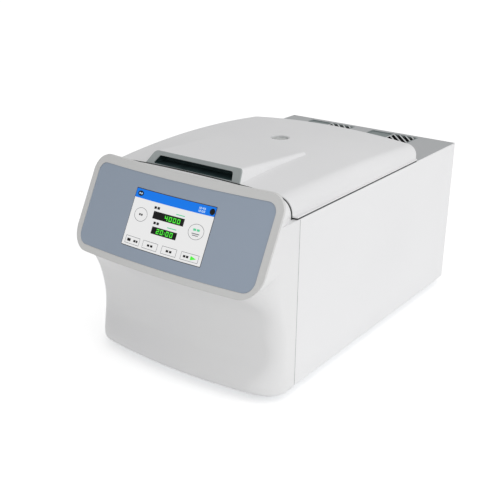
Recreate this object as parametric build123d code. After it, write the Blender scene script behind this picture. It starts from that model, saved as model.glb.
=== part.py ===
from build123d import *
from math import atan2, cos, radians, sin, sqrt, tan
import os

# Refrigerated benchtop centrifuge, built from its separate pieces.
#
# Working frame: x to the operator's right, y to the back, z up, in millimetres.
# While it is modelled, y = 0 is the upright joint between the moulded front shell and the
# sheet metal sides, and z = 0 is the bench. place() then moves every piece along y, so that
# the origin of the finished part is the middle of its footprint.

# Rotor chamber and the layers around it, from the inside out.
CHAMBER_RADIUS = 135.0
CHAMBER_DEPTH = 150.0
BOWL_WALL = 1.2
BOWL_RIM = 9.0
BOWL_CORNER = 14.0
DRIVE_HOLE = 26.0
GUARD_PORT = 22.0
COIL_TUBE = 8.0
COIL_TURNS = 5
COIL_PITCH = 20.0
COIL_POINTS = 24
FOAM_WALL = 12.5
ARMOUR_WALL = 6.0
SIDE_AIR_GAP = 15.0
LAYER_GAP = 0.4

# Sheet metal and moulded walls.
SHEET = 1.5
SHELL_WALL = 3.0
DECK_PLATE = 4.0
CHASSIS_PLATE = 4.0
LINER_PLATE = 1.5
FIT_GAP = 0.2
SEAT_GAP = 0.3
SEAT_CLEARANCE = 0.1

# Heights of the stack under the chamber.
FOOT_HEIGHT = 12.0
FOOT_RADIUS = 16.0
FOOT_TIP_RADIUS = 13.6
FOOT_INSET = 48.0
MOUNT_HEIGHT = 8.0
MOUNT_RADIUS = 11.0
MOUNT_WAIST_RADIUS = 8.8
MOUNT_RIM = 2.0
MOUNT_INSET = 12.0
MOUNT_COUNT = 3
FLANGE_PLATE = 6.0
MOTOR_HEIGHT = 82.5
MOTOR_AIR = 6.8

# Bays in front of and behind the chamber.
LATCH_BAY = 48.5
REAR_BAY = 156.0

# Rubber strip under the lid's edge.
SEAL_INSET = 0.6
SEAL_WALL = 3.2
SEAL_PROUD = 1.8
SEAL_LIP = 5.0

# Lid: gaps, crest and the cross-sections at its front, crest and rear.
LID_GAP = 2.6
SEAM_GAP = 2.4
LID_NOSE = 30.0
LID_CORNER_NOSE = 7.0
LID_REACH = 24.7
LID_CREST = 46.9
CREST_AHEAD = 77.0
CREST_RADIUS = 2890.0
SHOULDER_STEP_FRONT = 9.7
SHOULDER_STEP_REAR = 2.6
SHOULDER_FRONT = 27.0
SHOULDER_REAR = 19.0
CROWN_RADIUS_FRONT = 1096.0
CROWN_RADIUS_REAR = 1550.0
LID_FOOT_FRONT = 3.0
LID_FOOT_REAR = 1.2
LID_EDGE = 2.0
LID_BOSS_RADIUS = 5.0
LID_BOSS_INSET = 16.0
LID_FOAM_RADIUS = 122.0
LID_FOAM_HEIGHT = 18.0
GASKET_WALL = 7.0
GASKET_FLANGE = 1.0
GASKET_LIP_INSET = 2.0
GASKET_FLANGE_PLATE = 2.0

# Hood over the grip at the front of the lid.
HOOD_RISE = 16.0
HOOD_LEAN = 43.0
HOOD_SET_BACK = 5.0
HOOD_HALF_BOTTOM = 92.7
HOOD_HALF_TOP = 82.0
HOOD_HALF_REAR = 91.0
HOOD_HALF_REAR_TOP = 89.0
HOOD_FOOT_CORNER = 1.0
HOOD_LENGTH = 185.0
GRIP_HALF_TOP = 70.0
GRIP_HALF_BOTTOM = 75.6
GRIP_DEPTH = 34.0
GRIP_ROOF = 6.0
GRIP_SINK = 1.5
HOOD_CORNER = 7.0
HOOD_FADE = 1.2
GRIP_CORNER = 5.0
SURROUND_PLATE = 2.0
POCKET_WALL = 1.8

# Sight port over the rotor.
PORT_RADIUS = 14.4
PORT_SINK = 1.6
PORT_GLASS = 3.0
PORT_TUBE_WALL = 2.0
PORT_LEDGE = 1.0

# Console: the tilted face, its trim and the cove under it.
FACE_TILT = 27.3
FACE_BACK = 38.7
FACE_MARK = 30.5
FACE_BOW = 11.7
CONSOLE_TOP = 43.0
CONSOLE_HEIGHT = 138.5
CONSOLE_CORNER_LOW = 33.0
CONSOLE_CORNER_TOP = 26.0
SHOULDER_BLEND = 46.0
PLAN_BOW_RADIUS = 860.0
KICK_HEIGHT = 54.0
KICK_SET_BACK = 4.5
KICK_Y = 69.3
KICK_CORNER = 33.0
COVE_START = 83.0
COVE_CORNER = 28.0
COVE_STEPS = ((0.32, 0.13, 28.0), (0.56, 0.29, 26.0), (0.74, 0.56, 34.0))
COVE_LIP_CORNER = 52.0
COVE_LIP_GAP = 2.0
BEZEL_PLATE = 4.0
OVERLAY_SINK = 0.7
BEZEL_SIDE = 11.2
BEZEL_LOW = 9.0
BEZEL_TOP = 11.5
OVERLAY_CORNER_LOW = 17.0
OVERLAY_CORNER_TOP = 15.0

# Touch screen, a seven inch module in the middle of the face.
SCREEN_WIDTH = 153.5
SCREEN_RISE = 79.6
SCREEN_LOW = 17.8
SCREEN_CORNER = 1.5
MODULE_DEPTH = 9.0
MODULE_MARGIN = 5.0
BOARD_PLATE = 1.6
BOARD_MARGIN = 14.0
BOARD_STANDOFF = 8.0
STANDOFF_RADIUS = 3.0

# Fixed angle rotor for six conical tubes.
ROTOR_RADIUS = 108.0
ROTOR_BASE_RADIUS = 76.0
ROTOR_HEIGHT = 84.0
ROTOR_RIM = 22.0
ROTOR_TOP_RADIUS = 80.0
ROTOR_DROP = 8.0
ROTOR_FLOAT = 14.0
ROTOR_DISH_RADIUS = 74.0
ROTOR_DISH = 6.0
TUBE_COUNT = 6
TUBE_RADIUS = 14.8
TUBE_DEPTH = 66.0
TUBE_CONE = 12.0
TUBE_TIP_RADIUS = 4.0
TUBE_ANGLE = 25.0
TUBE_MOUTH_RADIUS = 46.0
ROTOR_LID_PLATE = 4.0
ROTOR_LID_RISE = 5.0
KNOB_RADIUS = 20.0
KNOB_HEIGHT = 22.0
KNOB_FLUTES = 8
KNOB_FLUTE_RADIUS = 5.0
KNOB_STUD_RADIUS = 5.0
KNOB_STUD = 18.0

# Drive.
SHAFT_RADIUS = 9.0
SHAFT_CLEARANCE = 0.05
MOTOR_RADIUS = 60.0
MOTOR_WALL = 5.0
MOTOR_FLANGE_RADIUS = 84.0
MOTOR_SLOTS = 12
MOTOR_SLOT_WIDTH = 10.0
BEARING_WALL = 8.0
BEARING_HEIGHT = 9.0
STATOR_WALL = 19.0
STATOR_HEIGHT = 46.0
AIR_GAP = 0.8
GAITER_WALL = 6.0
GAITER_RISE = 3.0

# Refrigeration set in the rear bay.
COMPRESSOR_RADIUS = 55.0
COMPRESSOR_HEIGHT = 150.0
COMPRESSOR_DOME = 26.0
COMPRESSOR_X = -84.0
GROMMET_HEIGHT = 8.0
GROMMET_RADIUS = 9.0
CONDENSER_SIZE = 120.0
CONDENSER_DEPTH = 26.0
CONDENSER_X = 74.0
CONDENSER_LIFT = 14.0
FIN_PITCH = 8.0
FIN_SLOT = 5.0
FIN_DEPTH = 9.0
FAN_GAP = 3.0
FAN_DEPTH = 25.0
FAN_BORE_RADIUS = 57.0
FAN_HUB_RADIUS = 20.0
FAN_BLADES = 5
FAN_TIP_GAP = 2.5
FAN_PIN_RADIUS = 3.0
BLADE_PLATE = 2.5
BLADE_ROOT = 3.0
BLADE_PITCH = 34.0
PIPE_RADIUS = 4.0
PIPE_BEND = 14.0
DRIER_RADIUS = 10.0
DRIER_LENGTH = 60.0

# Drive electronics on the inside of the rear panel.
INVERTER_WIDTH = 124.0
INVERTER_HEIGHT = 60.0
INVERTER_DEPTH = 58.0
INVERTER_DROP = 12.0

# Lid hinges.
HINGE_X = 128.0
HINGE_BEHIND = 10.5
HINGE_RISE = 9.0
BARREL_RADIUS = 7.0
BARREL_LENGTH = 34.0
EAR_LENGTH = 12.0
EAR_GAP = 0.4
HINGE_PIN_RADIUS = 3.5
PIN_HEAD = 1.5
ARM_PLATE = 5.0

# Latch under the deck, ahead of the chamber.
LATCH_Y = 22.0
HOOK_RADIUS = 30.0
HOOK_PLATE = 8.0
HOOK_BAND = 6.0
HOOK_SWING = 34.0
HOOK_TIP = 8.0
HOOK_CLEAR = 20.0
HOOK_SPAN = 34.0
HOOK_PLAY = 0.5
HOOK_PIN_RADIUS = 4.0
STRIKER_DROP = 22.0
STRIKER_WIDTH = 20.0
STRIKER_PLATE = 3.0
STRIKER_BAR = 5.0
LATCH_SLOT_WIDTH = 27.0
LATCH_SLOT_LENGTH = 20.0
LATCH_CHEEK = 3.0
LATCH_GEARBOX_RADIUS = 14.0
LATCH_GEARBOX_LENGTH = 12.0
LATCH_MOTOR_RADIUS = 11.2
LATCH_MOTOR_LENGTH = 24.0

# Rear deck vents.
VENT_WIDTH = 99.0
VENT_LENGTH = 92.0
VENT_LEFT_X = -77.5
VENT_RIGHT_X = 60.5
VENT_REAR = 9.0
VENT_PLATE = 3.0
VENT_RIM = 3.0
VENT_SLOT = 5.0
VENT_PITCH = 7.8
VENT_SLANT = 35.0
VENT_PLAIN = 47.0
VENT_SINK = 1.2

# Rear panel.
EXHAUST_SLOT = 5.0
EXHAUST_PITCH = 9.5
EXHAUST_SIZE = 100.0
INLET_WIDTH = 50.0
INLET_HEIGHT = 27.5
INLET_X = -128.0
INLET_Z = 60.0
INLET_DEPTH = 24.0
INLET_WALL = 4.5
INLET_SIDE_WALL = 2.0
INLET_PIN_APART = 7.0
INLET_PIN_LIFT = 3.0
INLET_PIN_PLATE = 2.0
INLET_PIN_WIDTH = 4.0
SWITCH_X = -128.0
SWITCH_Z = 108.0
SWITCH_WIDTH = 22.0
SWITCH_HEIGHT = 30.0
SWITCH_DEPTH = 20.0
SWITCH_WALL = 2.5
SWITCH_RIM = 1.6
ROCKER_THROW = 16.0
ROCKER_RADIUS = 13.0
ROCKER_DEPTH = 8.5
ROCKER_FACE = 7.0
SCREW_RADIUS = 4.0
SCREW_HEAD = 1.5
SCREW_INSET = 9.0

# How far a cutting body passes what it cuts, and a face that it only has to clear.
OVERCUT = 10.0
CUT_PAST = 1.0

# Radii outwards from the chamber, and half the width.
bowl_outer = CHAMBER_RADIUS + BOWL_WALL
coil_radius = bowl_outer + LAYER_GAP + COIL_TUBE / 2
foam_inner = bowl_outer + LAYER_GAP + COIL_TUBE + LAYER_GAP
foam_outer = foam_inner + FOAM_WALL
armour_inner = foam_outer + LAYER_GAP
armour_outer = armour_inner + ARMOUR_WALL
half_width = armour_outer + SIDE_AIR_GAP + SHEET
inner_half = half_width - SHEET - FIT_GAP

# Heights, from the bench up.
chassis_top = FOOT_HEIGHT + CHASSIS_PLATE
flange_low = chassis_top + MOUNT_HEIGHT
motor_low = flange_low + FLANGE_PLATE
motor_top = motor_low + MOTOR_HEIGHT
foam_low = motor_top + MOTOR_AIR
bowl_low = foam_low + FOAM_WALL
bowl_floor = bowl_low + BOWL_WALL
deck_top = bowl_floor + CHAMBER_DEPTH
deck_low = deck_top - DECK_PLATE
lid_low = deck_top + LID_GAP
liner_low = lid_low + LID_GAP
liner_top = liner_low + LINER_PLATE

# Places along the depth.
chamber_y = LATCH_BAY + armour_outer
lid_rear = chamber_y + CHAMBER_RADIUS + LID_REACH
rear_inner = chamber_y + armour_outer + REAR_BAY
rear_outer = rear_inner + SHEET
crest_y = chamber_y - CREST_AHEAD
crest_z = deck_top + LID_CREST
hinge_y = lid_rear + HINGE_BEHIND
hinge_z = deck_top + HINGE_RISE

# Drive and rear bay.
bearing_radius = SHAFT_RADIUS + BEARING_WALL
rotor_low = bowl_floor + ROTOR_FLOAT
fan_z = chassis_top + CONDENSER_LIFT + CONDENSER_SIZE / 2
inlet_body = INLET_HEIGHT
rear_bay_y = (chamber_y + armour_outer + rear_inner) / 2
fan_rear = rear_inner - FIT_GAP
condenser_y1 = fan_rear - FAN_DEPTH - FAN_GAP
condenser_y0 = condenser_y1 - CONDENSER_DEPTH
rocker_y = rear_outer - ROCKER_DEPTH
dish_rise = ROTOR_HEIGHT - ROTOR_DISH
hook_z = deck_top - STRIKER_DROP + STRIKER_BAR + HOOK_PLAY - HOOK_RADIUS

# Console face, in the same frame.
tilt = tan(radians(FACE_TILT))
console_top = deck_top + CONSOLE_TOP
console_low = console_top - CONSOLE_HEIGHT
overlay_half = half_width - BEZEL_SIDE
overlay_low = console_low + BEZEL_LOW
overlay_top = console_top - BEZEL_TOP
screen_low = overlay_low + SCREEN_LOW
screen_top = screen_low + SCREEN_RISE
module_half = SCREEN_WIDTH / 2 + MODULE_MARGIN
module_low = screen_low - MODULE_MARGIN
module_top = screen_top + MODULE_MARGIN
face_cos = cos(radians(FACE_TILT))


def block(x0, x1, y0, y1, z0, z1):
    """A box between two corners."""
    return Pos((x0 + x1) / 2, (y0 + y1) / 2, (z0 + z1) / 2) * Box(x1 - x0, y1 - y0, z1 - z0)


def disc(radius, z0, z1, x=0.0, y=0.0):
    """An upright cylinder between two heights."""
    return Pos(x, y, (z0 + z1) / 2) * Cylinder(radius, z1 - z0)


def ring(outer, inner, z0, z1, x=0.0, y=0.0):
    """An upright tube between two heights."""
    return disc(outer, z0, z1, x, y) - disc(inner, z0 - CUT_PAST, z1 + CUT_PAST, x, y)


def rod_x(radius, x0, x1, y, z):
    """A cylinder along x."""
    return Pos((x0 + x1) / 2, y, z) * Rot(0, 90, 0) * Cylinder(radius, x1 - x0)


def rod_y(radius, y0, y1, x, z):
    """A cylinder along y."""
    return Pos(x, (y0 + y1) / 2, z) * Rot(90, 0, 0) * Cylinder(radius, y1 - y0)


def upwards(face, height):
    """A plan outline raised straight up, or lowered if the height is negative."""
    way = (0, 0, 1) if height > 0 else (0, 0, -1)
    return extrude(face, amount=abs(height), dir=way)


def backwards(face, depth):
    """An upright outline carried straight to the back."""
    return extrude(face, amount=depth, dir=(0, 1, 0))


def rounded(x0, x1, y0, y1, low, top):
    """A closed outline with one radius for its low corners and one for its top corners."""
    corners = [(x0, y0), (x1, y0), (x1, y1), (x0, y1)]
    return Face(Wire(FilletPolyline(*corners, radius=[low, low, top, top], close=True).edges()))


def through_y(face, y0, y1):
    """A face drawn in x and z, made solid between two depths."""
    return backwards(Plane.XZ.offset(-y0) * face, y1 - y0)


def seam_radius():
    """Plan radius of the lid's front edge, from its two reaches."""
    sag = LID_NOSE - LID_CORNER_NOSE
    return (half_width * half_width + sag * sag) / (2 * sag)


def plan_face(front, back, half, bow, corner):
    """Plan outline with a bowed front, two round front corners and straight sides."""
    centre_y = front + bow
    corner_y = centre_y - sqrt((bow - corner) ** 2 - (half - corner) ** 2)
    reach = bow / (bow - corner)
    touch_x = (half - corner) * reach
    touch_y = centre_y + (corner_y - centre_y) * reach
    turn = atan2(touch_y - corner_y, touch_x - half + corner) / 2
    mid_x = half - corner + corner * cos(turn)
    mid_y = corner_y + corner * sin(turn)
    edges = [
        Line((-half, back), (half, back)),
        Line((half, back), (half, corner_y)),
        ThreePointArc((half, corner_y), (mid_x, mid_y), (touch_x, touch_y)),
        ThreePointArc((touch_x, touch_y), (0, front), (-touch_x, touch_y)),
        ThreePointArc((-touch_x, touch_y), (-mid_x, mid_y), (-half, corner_y)),
        Line((-half, corner_y), (-half, back)),
    ]
    return Face(Wire(edges))


def behind_seam(set_back):
    """Everything behind the lid's bowed front edge, moved back by a gap."""
    radius = seam_radius()
    wide = half_width + SHEET
    front = -LID_NOSE + set_back
    side = front + radius - sqrt(radius * radius - wide * wide)
    edges = [
        Line((-wide, rear_outer), (wide, rear_outer)),
        Line((wide, rear_outer), (wide, side)),
        ThreePointArc((wide, side), (0, front), (-wide, side)),
        Line((-wide, side), (-wide, rear_outer)),
    ]
    plan = Pos(0, 0, deck_low - HOOD_RISE) * Face(Wire(edges))
    return upwards(plan, 2 * (crest_z - deck_top))


def crown_section(y, reach, shoulder, crown, foot, top, low):
    """Cross-section at one depth: crowned top, convex shoulders, small concave feet."""
    centre_z = top - crown
    shoulder_x = reach - shoulder
    shoulder_z = centre_z + sqrt((crown - shoulder) ** 2 - shoulder_x ** 2)
    scale = crown / (crown - shoulder)
    touch_x = shoulder_x * scale
    touch_z = centre_z + (shoulder_z - centre_z) * scale
    half_turn = atan2(touch_z - shoulder_z, touch_x - shoulder_x) / 2
    mid_x = shoulder_x + shoulder * cos(half_turn)
    mid_z = shoulder_z + shoulder * sin(half_turn)
    foot_mid = foot * (1 - cos(radians(45)))
    edge_top = lid_low + LID_EDGE
    foot_low = (reach + foot, edge_top)
    foot_high = (reach, edge_top + foot)
    right = [
        Line((half_width, low), (half_width, edge_top)),
        Line((half_width, edge_top), foot_low),
        ThreePointArc(foot_low, (reach + foot_mid, edge_top + foot_mid), foot_high),
        Line(foot_high, (reach, shoulder_z)),
        ThreePointArc((reach, shoulder_z), (mid_x, mid_z), (touch_x, touch_z)),
    ]
    crown_arc = ThreePointArc((touch_x, touch_z), (0, top), (-touch_x, touch_z))
    left = [edge.mirror(Plane.YZ) for edge in right]
    bottom = Line((-half_width, low), (half_width, low))
    return Plane.XZ.offset(-y) * Face(Wire(right + [crown_arc] + left + [bottom]))


def hollow_section(y, reach, shoulder, crown, top, low):
    """The same cross-section with straight sides, for the hollow inside."""
    centre_z = top - crown
    shoulder_x = reach - shoulder
    shoulder_z = centre_z + sqrt((crown - shoulder) ** 2 - shoulder_x ** 2)
    scale = crown / (crown - shoulder)
    touch_x = shoulder_x * scale
    touch_z = centre_z + (shoulder_z - centre_z) * scale
    half_turn = atan2(touch_z - shoulder_z, touch_x - shoulder_x) / 2
    mid_x = shoulder_x + shoulder * cos(half_turn)
    mid_z = shoulder_z + shoulder * sin(half_turn)
    edges = [
        Line((-reach, low), (reach, low)),
        Line((reach, low), (reach, shoulder_z)),
        ThreePointArc((reach, shoulder_z), (mid_x, mid_z), (touch_x, touch_z)),
        ThreePointArc((touch_x, touch_z), (0, top), (-touch_x, touch_z)),
        ThreePointArc((-touch_x, touch_z), (-mid_x, mid_z), (-reach, shoulder_z)),
        Line((-reach, shoulder_z), (-reach, low)),
    ]
    return Plane.XZ.offset(-y) * Face(Wire(edges))


def top_at(y):
    """Height of the lid's middle line at one depth."""
    return crest_z - CREST_RADIUS + sqrt(CREST_RADIUS ** 2 - (y - crest_y) ** 2)


seam_top = top_at(-LID_NOSE)
reach_front = half_width - SHOULDER_STEP_FRONT
reach_rear = half_width - SHOULDER_STEP_REAR


def face_slab(front_cut, back_cut, half, low, high):
    """A slab of the console's bowed, tilted face, between two depths under its surface."""
    bow = (half_width * half_width + FACE_BOW * FACE_BOW) / (2 * FACE_BOW)
    mark_y = -FACE_BACK - FACE_BOW
    side = bow - sqrt(bow * bow - half * half)
    start = mark_y - (deck_top + FACE_MARK - low) * tilt
    y0 = start + front_cut / face_cos
    y1 = start + back_cut / face_cos
    edges = [
        ThreePointArc((-half, y0 + side), (0, y0), (half, y0 + side)),
        Line((half, y0 + side), (half, y1 + side)),
        ThreePointArc((half, y1 + side), (0, y1), (-half, y1 + side)),
        Line((-half, y1 + side), (-half, y0 + side)),
    ]
    plan = Pos(0, 0, low) * Face(Wire(edges))
    return extrude(plan, amount=(high - low) / face_cos, dir=(0, sin(radians(FACE_TILT)), face_cos))


def face_y(z):
    """Depth of the face's middle line at one height."""
    return -FACE_BACK - FACE_BOW - (deck_top + FACE_MARK - z) * tilt


def lower_front(inset):
    """The lower front: kick, waist and the cove that carries the console."""
    half = half_width - inset
    lip_z = console_low + COVE_LIP_GAP
    lip_y = face_y(lip_z) + BEZEL_PLATE / face_cos + COVE_LIP_GAP
    waist_y = -KICK_Y + KICK_SET_BACK
    levels = [
        (FOOT_HEIGHT, -KICK_Y, KICK_CORNER),
        (FOOT_HEIGHT + KICK_HEIGHT, waist_y, COVE_CORNER),
        (FOOT_HEIGHT + COVE_START, waist_y, COVE_CORNER),
    ]
    start_z = FOOT_HEIGHT + COVE_START
    for rise, run, corner in COVE_STEPS:
        levels.append((start_z + rise * (lip_z - start_z), waist_y + run * (lip_y - waist_y), corner))
    levels.append((lip_z, lip_y, COVE_LIP_CORNER))
    sections = []
    for z, y, corner in levels:
        outline = plan_face(y + inset, SHEET, half, PLAN_BOW_RADIUS - inset, corner - inset)
        sections.append(Pos(0, 0, z) * outline)
    body = loft(sections)
    lip = upwards(sections[-1], deck_top - inset - lip_z)
    wide = half_width + OVERCUT
    lip &= face_slab(BEZEL_PLATE + inset, 3 * half_width, wide, console_low - OVERCUT, console_top)
    if inset:
        body += upwards(sections[0], -FOOT_HEIGHT)
    return body + lip


def console_block(inset):
    """The console: its outline in front view, cut by the bowed face and blended up to the lid."""
    half = half_width - inset
    low = console_low + inset
    top = console_top - inset
    outline = rounded(-half, half, low, top, CONSOLE_CORNER_LOW - inset, CONSOLE_CORNER_TOP - inset)
    face_depth = -face_y(low) + FACE_BOW
    block_front = through_y(outline, -face_depth, -SHOULDER_BLEND)
    front_top = seam_top - inset
    corner = CONSOLE_CORNER_TOP - inset
    reach = reach_front - inset
    near = hollow_section(-SHOULDER_BLEND, half, corner, CROWN_RADIUS_REAR, top, low)
    crown = CROWN_RADIUS_FRONT - inset
    far = hollow_section(-LID_CORNER_NOSE, reach, SHOULDER_FRONT - inset, crown, front_top, low)
    blend = loft([near, far])
    tail = backwards(far, LID_CORNER_NOSE + SHEET)
    wide = half_width + OVERCUT
    wedge = face_slab(BEZEL_PLATE + inset, 2 * face_depth, wide, low - OVERCUT, top + OVERCUT)
    return (block_front + blend + tail) & wedge


def make_front_shell():
    """One moulding: lower front, console and the ledge that the lid's nose closes over."""
    outer = lower_front(0) + console_block(0)
    outer -= block(-half_width - CUT_PAST, half_width + CUT_PAST, -SEAT_GAP, OVERCUT, 0, crest_z)
    wide = half_width + OVERCUT
    lid_room = behind_seam(-SEAM_GAP) & block(-wide, wide, -LID_NOSE - OVERCUT, OVERCUT, deck_top, crest_z)
    outer -= lid_room
    inner = lower_front(SHELL_WALL) + console_block(SHELL_WALL)
    riser = behind_seam(-SEAM_GAP - SHELL_WALL)
    riser &= block(-wide, wide, -LID_NOSE - 2 * OVERCUT, OVERCUT, deck_top - SHELL_WALL, crest_z)
    shell = outer - (inner - riser)
    window = rounded(-module_half, module_half, module_low, module_top, SCREEN_CORNER, SCREEN_CORNER)
    return shell - through_y(window, face_y(module_low) - OVERCUT, -LID_NOSE - SHELL_WALL - SEAM_GAP)


def make_panel_bezel():
    """Trim ring round the control overlay, standing a little proud of it."""
    outline = rounded(
        -half_width, half_width, console_low, console_top, CONSOLE_CORNER_LOW, CONSOLE_CORNER_TOP
    )
    hole = rounded(
        -overlay_half, overlay_half, overlay_low, overlay_top, OVERLAY_CORNER_LOW, OVERLAY_CORNER_TOP
    )
    front = face_y(console_low) - OVERCUT
    slab = face_slab(0, BEZEL_PLATE, half_width + OVERCUT, console_low - OVERCUT, console_top + OVERCUT)
    return slab & (through_y(outline, front, 0) - through_y(hole, front, 0))


def make_control_overlay():
    """Bowed front plate with the window for the touch screen."""
    outline = rounded(
        -overlay_half + FIT_GAP,
        overlay_half - FIT_GAP,
        overlay_low + FIT_GAP,
        overlay_top - FIT_GAP,
        OVERLAY_CORNER_LOW - FIT_GAP,
        OVERLAY_CORNER_TOP - FIT_GAP,
    )
    half = SCREEN_WIDTH / 2 + FIT_GAP
    window = rounded(-half, half, screen_low - FIT_GAP, screen_top + FIT_GAP, SCREEN_CORNER, SCREEN_CORNER)
    front = face_y(console_low) - OVERCUT
    slab = face_slab(OVERLAY_SINK, BEZEL_PLATE, half_width, console_low, console_top)
    return slab & (through_y(outline, front, 0) - through_y(window, front, 0))


def make_touch_screen():
    """Glass of the touch screen, flush with the overlay."""
    half = SCREEN_WIDTH / 2
    outline = rounded(-half, half, screen_low, screen_top, SCREEN_CORNER, SCREEN_CORNER)
    slab = face_slab(OVERLAY_SINK, BEZEL_PLATE, half_width, console_low, console_top)
    return slab & through_y(outline, face_y(console_low) - OVERCUT, 0)


def make_display_module():
    """Display housing behind the glass, filling the opening in the shell."""
    half = module_half - FIT_GAP
    outline = rounded(-half, half, module_low + FIT_GAP, module_top - FIT_GAP, SCREEN_CORNER, SCREEN_CORNER)
    slab = face_slab(
        BEZEL_PLATE, BEZEL_PLATE + SHELL_WALL + MODULE_DEPTH, half_width, console_low, console_top
    )
    return slab & through_y(outline, face_y(console_low) - OVERCUT, OVERCUT)


def make_control_board():
    """Circuit board on four standoffs behind the display."""
    depth = BEZEL_PLATE + SHELL_WALL + MODULE_DEPTH
    half = module_half + BOARD_MARGIN - FACE_BOW
    low = console_low + BOARD_MARGIN
    high = deck_low - BOARD_MARGIN / 2
    outline = rounded(-half, half, low, high, SCREEN_CORNER, SCREEN_CORNER)
    front = face_y(console_low) - OVERCUT
    board_front = depth + BOARD_STANDOFF
    slab = face_slab(board_front, board_front + BOARD_PLATE, half_width, console_low, console_top)
    board = slab & through_y(outline, front, OVERCUT)
    span = face_slab(depth, board_front + BOARD_PLATE, half_width, console_low, console_top)
    for x in (-module_half + BOARD_MARGIN, module_half - BOARD_MARGIN):
        for z in (module_low + BOARD_MARGIN / 2, high - BOARD_MARGIN / 2):
            board += span & rod_y(STANDOFF_RADIUS, front, OVERCUT, x, z)
    return board


def make_base_plate():
    """Chassis plate that everything inside stands on."""
    inset = SHELL_WALL + 2 * LAYER_GAP
    half = half_width - inset
    front = plan_face(-KICK_Y + inset, SHEET, half, PLAN_BOW_RADIUS - inset, KICK_CORNER - inset)
    nose = upwards(Pos(0, 0, FOOT_HEIGHT) * front, CHASSIS_PLATE)
    nose = nose & block(-half_width, half_width, -KICK_Y, 0, 0, chassis_top)
    body = block(-inner_half, inner_half, 0, rear_inner - FIT_GAP, FOOT_HEIGHT, chassis_top)
    return nose + body


def make_side_panel(side):
    """Sheet metal side, from the joint with the front shell to the rear panel."""
    outer = side * half_width
    inner = side * (half_width - SHEET)
    x0, x1 = sorted((outer, inner))
    return block(x0, x1, 0, rear_outer, FOOT_HEIGHT, deck_top)


def make_rear_panel():
    """Rear sheet with the exhaust slots, the inlet cut-out and the switch cut-out."""
    panel = block(-inner_half, inner_half, rear_inner, rear_outer, FOOT_HEIGHT, deck_top)
    y0 = rear_inner - OVERCUT
    y1 = rear_outer + OVERCUT
    rows = int(EXHAUST_SIZE / EXHAUST_PITCH)
    for row in range(rows):
        z = fan_z + (row - (rows - 1) / 2) * EXHAUST_PITCH
        slot = Pos(CONDENSER_X, z) * SlotOverall(EXHAUST_SIZE, EXHAUST_SLOT)
        panel -= through_y(slot, y0, y1)
    inlet = Pos(INLET_X, INLET_Z) * Rectangle(inlet_body + 2 * FIT_GAP, INLET_HEIGHT + 2 * FIT_GAP)
    panel -= through_y(inlet, y0, y1)
    switch = Pos(SWITCH_X, SWITCH_Z) * Rectangle(SWITCH_WIDTH + 2 * FIT_GAP, SWITCH_HEIGHT + 2 * FIT_GAP)
    return panel - through_y(switch, y0, y1)


def make_rear_top_cover():
    """Cover over the rear bay, with an opening for each vent grille."""
    cover = block(-inner_half, inner_half, lid_rear + LID_GAP, rear_inner - FIT_GAP, deck_low, deck_top)
    for x in (VENT_LEFT_X, VENT_RIGHT_X):
        half = VENT_WIDTH / 2 + FIT_GAP
        y1 = rear_inner - VENT_REAR + FIT_GAP
        y0 = y1 - VENT_LENGTH - 2 * FIT_GAP
        cover -= block(x - half, x + half, y0, y1, deck_top - VENT_PLATE, deck_top + CUT_PAST)
        lip = half - VENT_RIM
        cover -= block(x - lip, x + lip, y0 + VENT_RIM, y1 - VENT_RIM, 0, deck_top)
    return cover


def make_vent_grille(x):
    """Grille plate: a sunk plain half and a half with slanting slots."""
    half = VENT_WIDTH / 2
    y1 = rear_inner - VENT_REAR
    y0 = y1 - VENT_LENGTH
    low = deck_top - VENT_PLATE
    plate = block(x - half, x + half, y0, y1, low, deck_top)
    split = x - half + VENT_PLAIN
    front = y0 + VENT_RIM
    rear = y1 - VENT_RIM
    over = deck_top + CUT_PAST
    plate -= block(x - half + VENT_RIM, split, front, rear, deck_top - VENT_SINK, over)
    slotted = block(split + VENT_RIM, x + half - VENT_RIM, front, rear, low - CUT_PAST, over)
    count = int((VENT_LENGTH + VENT_WIDTH) / VENT_PITCH)
    bars = []
    for number in range(-count, count + 1):
        bar = Box(2 * VENT_WIDTH, VENT_SLOT, 4 * VENT_PLATE)
        centre_y = (y0 + y1) / 2 + number * VENT_PITCH / cos(radians(VENT_SLANT))
        bars.append(Pos(x + half / 2, centre_y, low) * Rot(0, 0, -VENT_SLANT) * bar)
    return plate - (slotted & Compound(children=bars))


def make_chamber_deck():
    """Top plate round the chamber mouth, with the slot for the lid's striker."""
    deck = block(-inner_half, inner_half, FIT_GAP, lid_rear, deck_low, deck_top)
    deck -= disc(bowl_outer + FIT_GAP, deck_low - CUT_PAST, deck_top + CUT_PAST, 0, chamber_y)
    slot = Pos(0, LATCH_Y, deck_low - CUT_PAST) * SlotOverall(LATCH_SLOT_WIDTH, LATCH_SLOT_LENGTH)
    return deck - upwards(slot, 2 * DECK_PLATE)


def deck_band(outer_inset, inner_inset, low, high):
    """A band on the deck that follows the lid's outline."""
    def form(inset, z0, z1):
        half = half_width - inset
        return behind_seam(inset) & block(-half, half, -LID_NOSE, lid_rear - inset, z0, z1)
    return form(outer_inset, low, high) - form(inner_inset, low - CUT_PAST, high + CUT_PAST)


def seam_form(grow):
    """The cross-section of the lid's front edge, grown, as a bar through the seam."""
    reach = reach_front + grow
    shoulder = SHOULDER_FRONT + grow
    front = -LID_NOSE - OVERCUT
    section = hollow_section(front, reach, shoulder, CROWN_RADIUS_FRONT + grow, seam_top + grow, deck_top)
    return backwards(section, -front)


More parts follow.
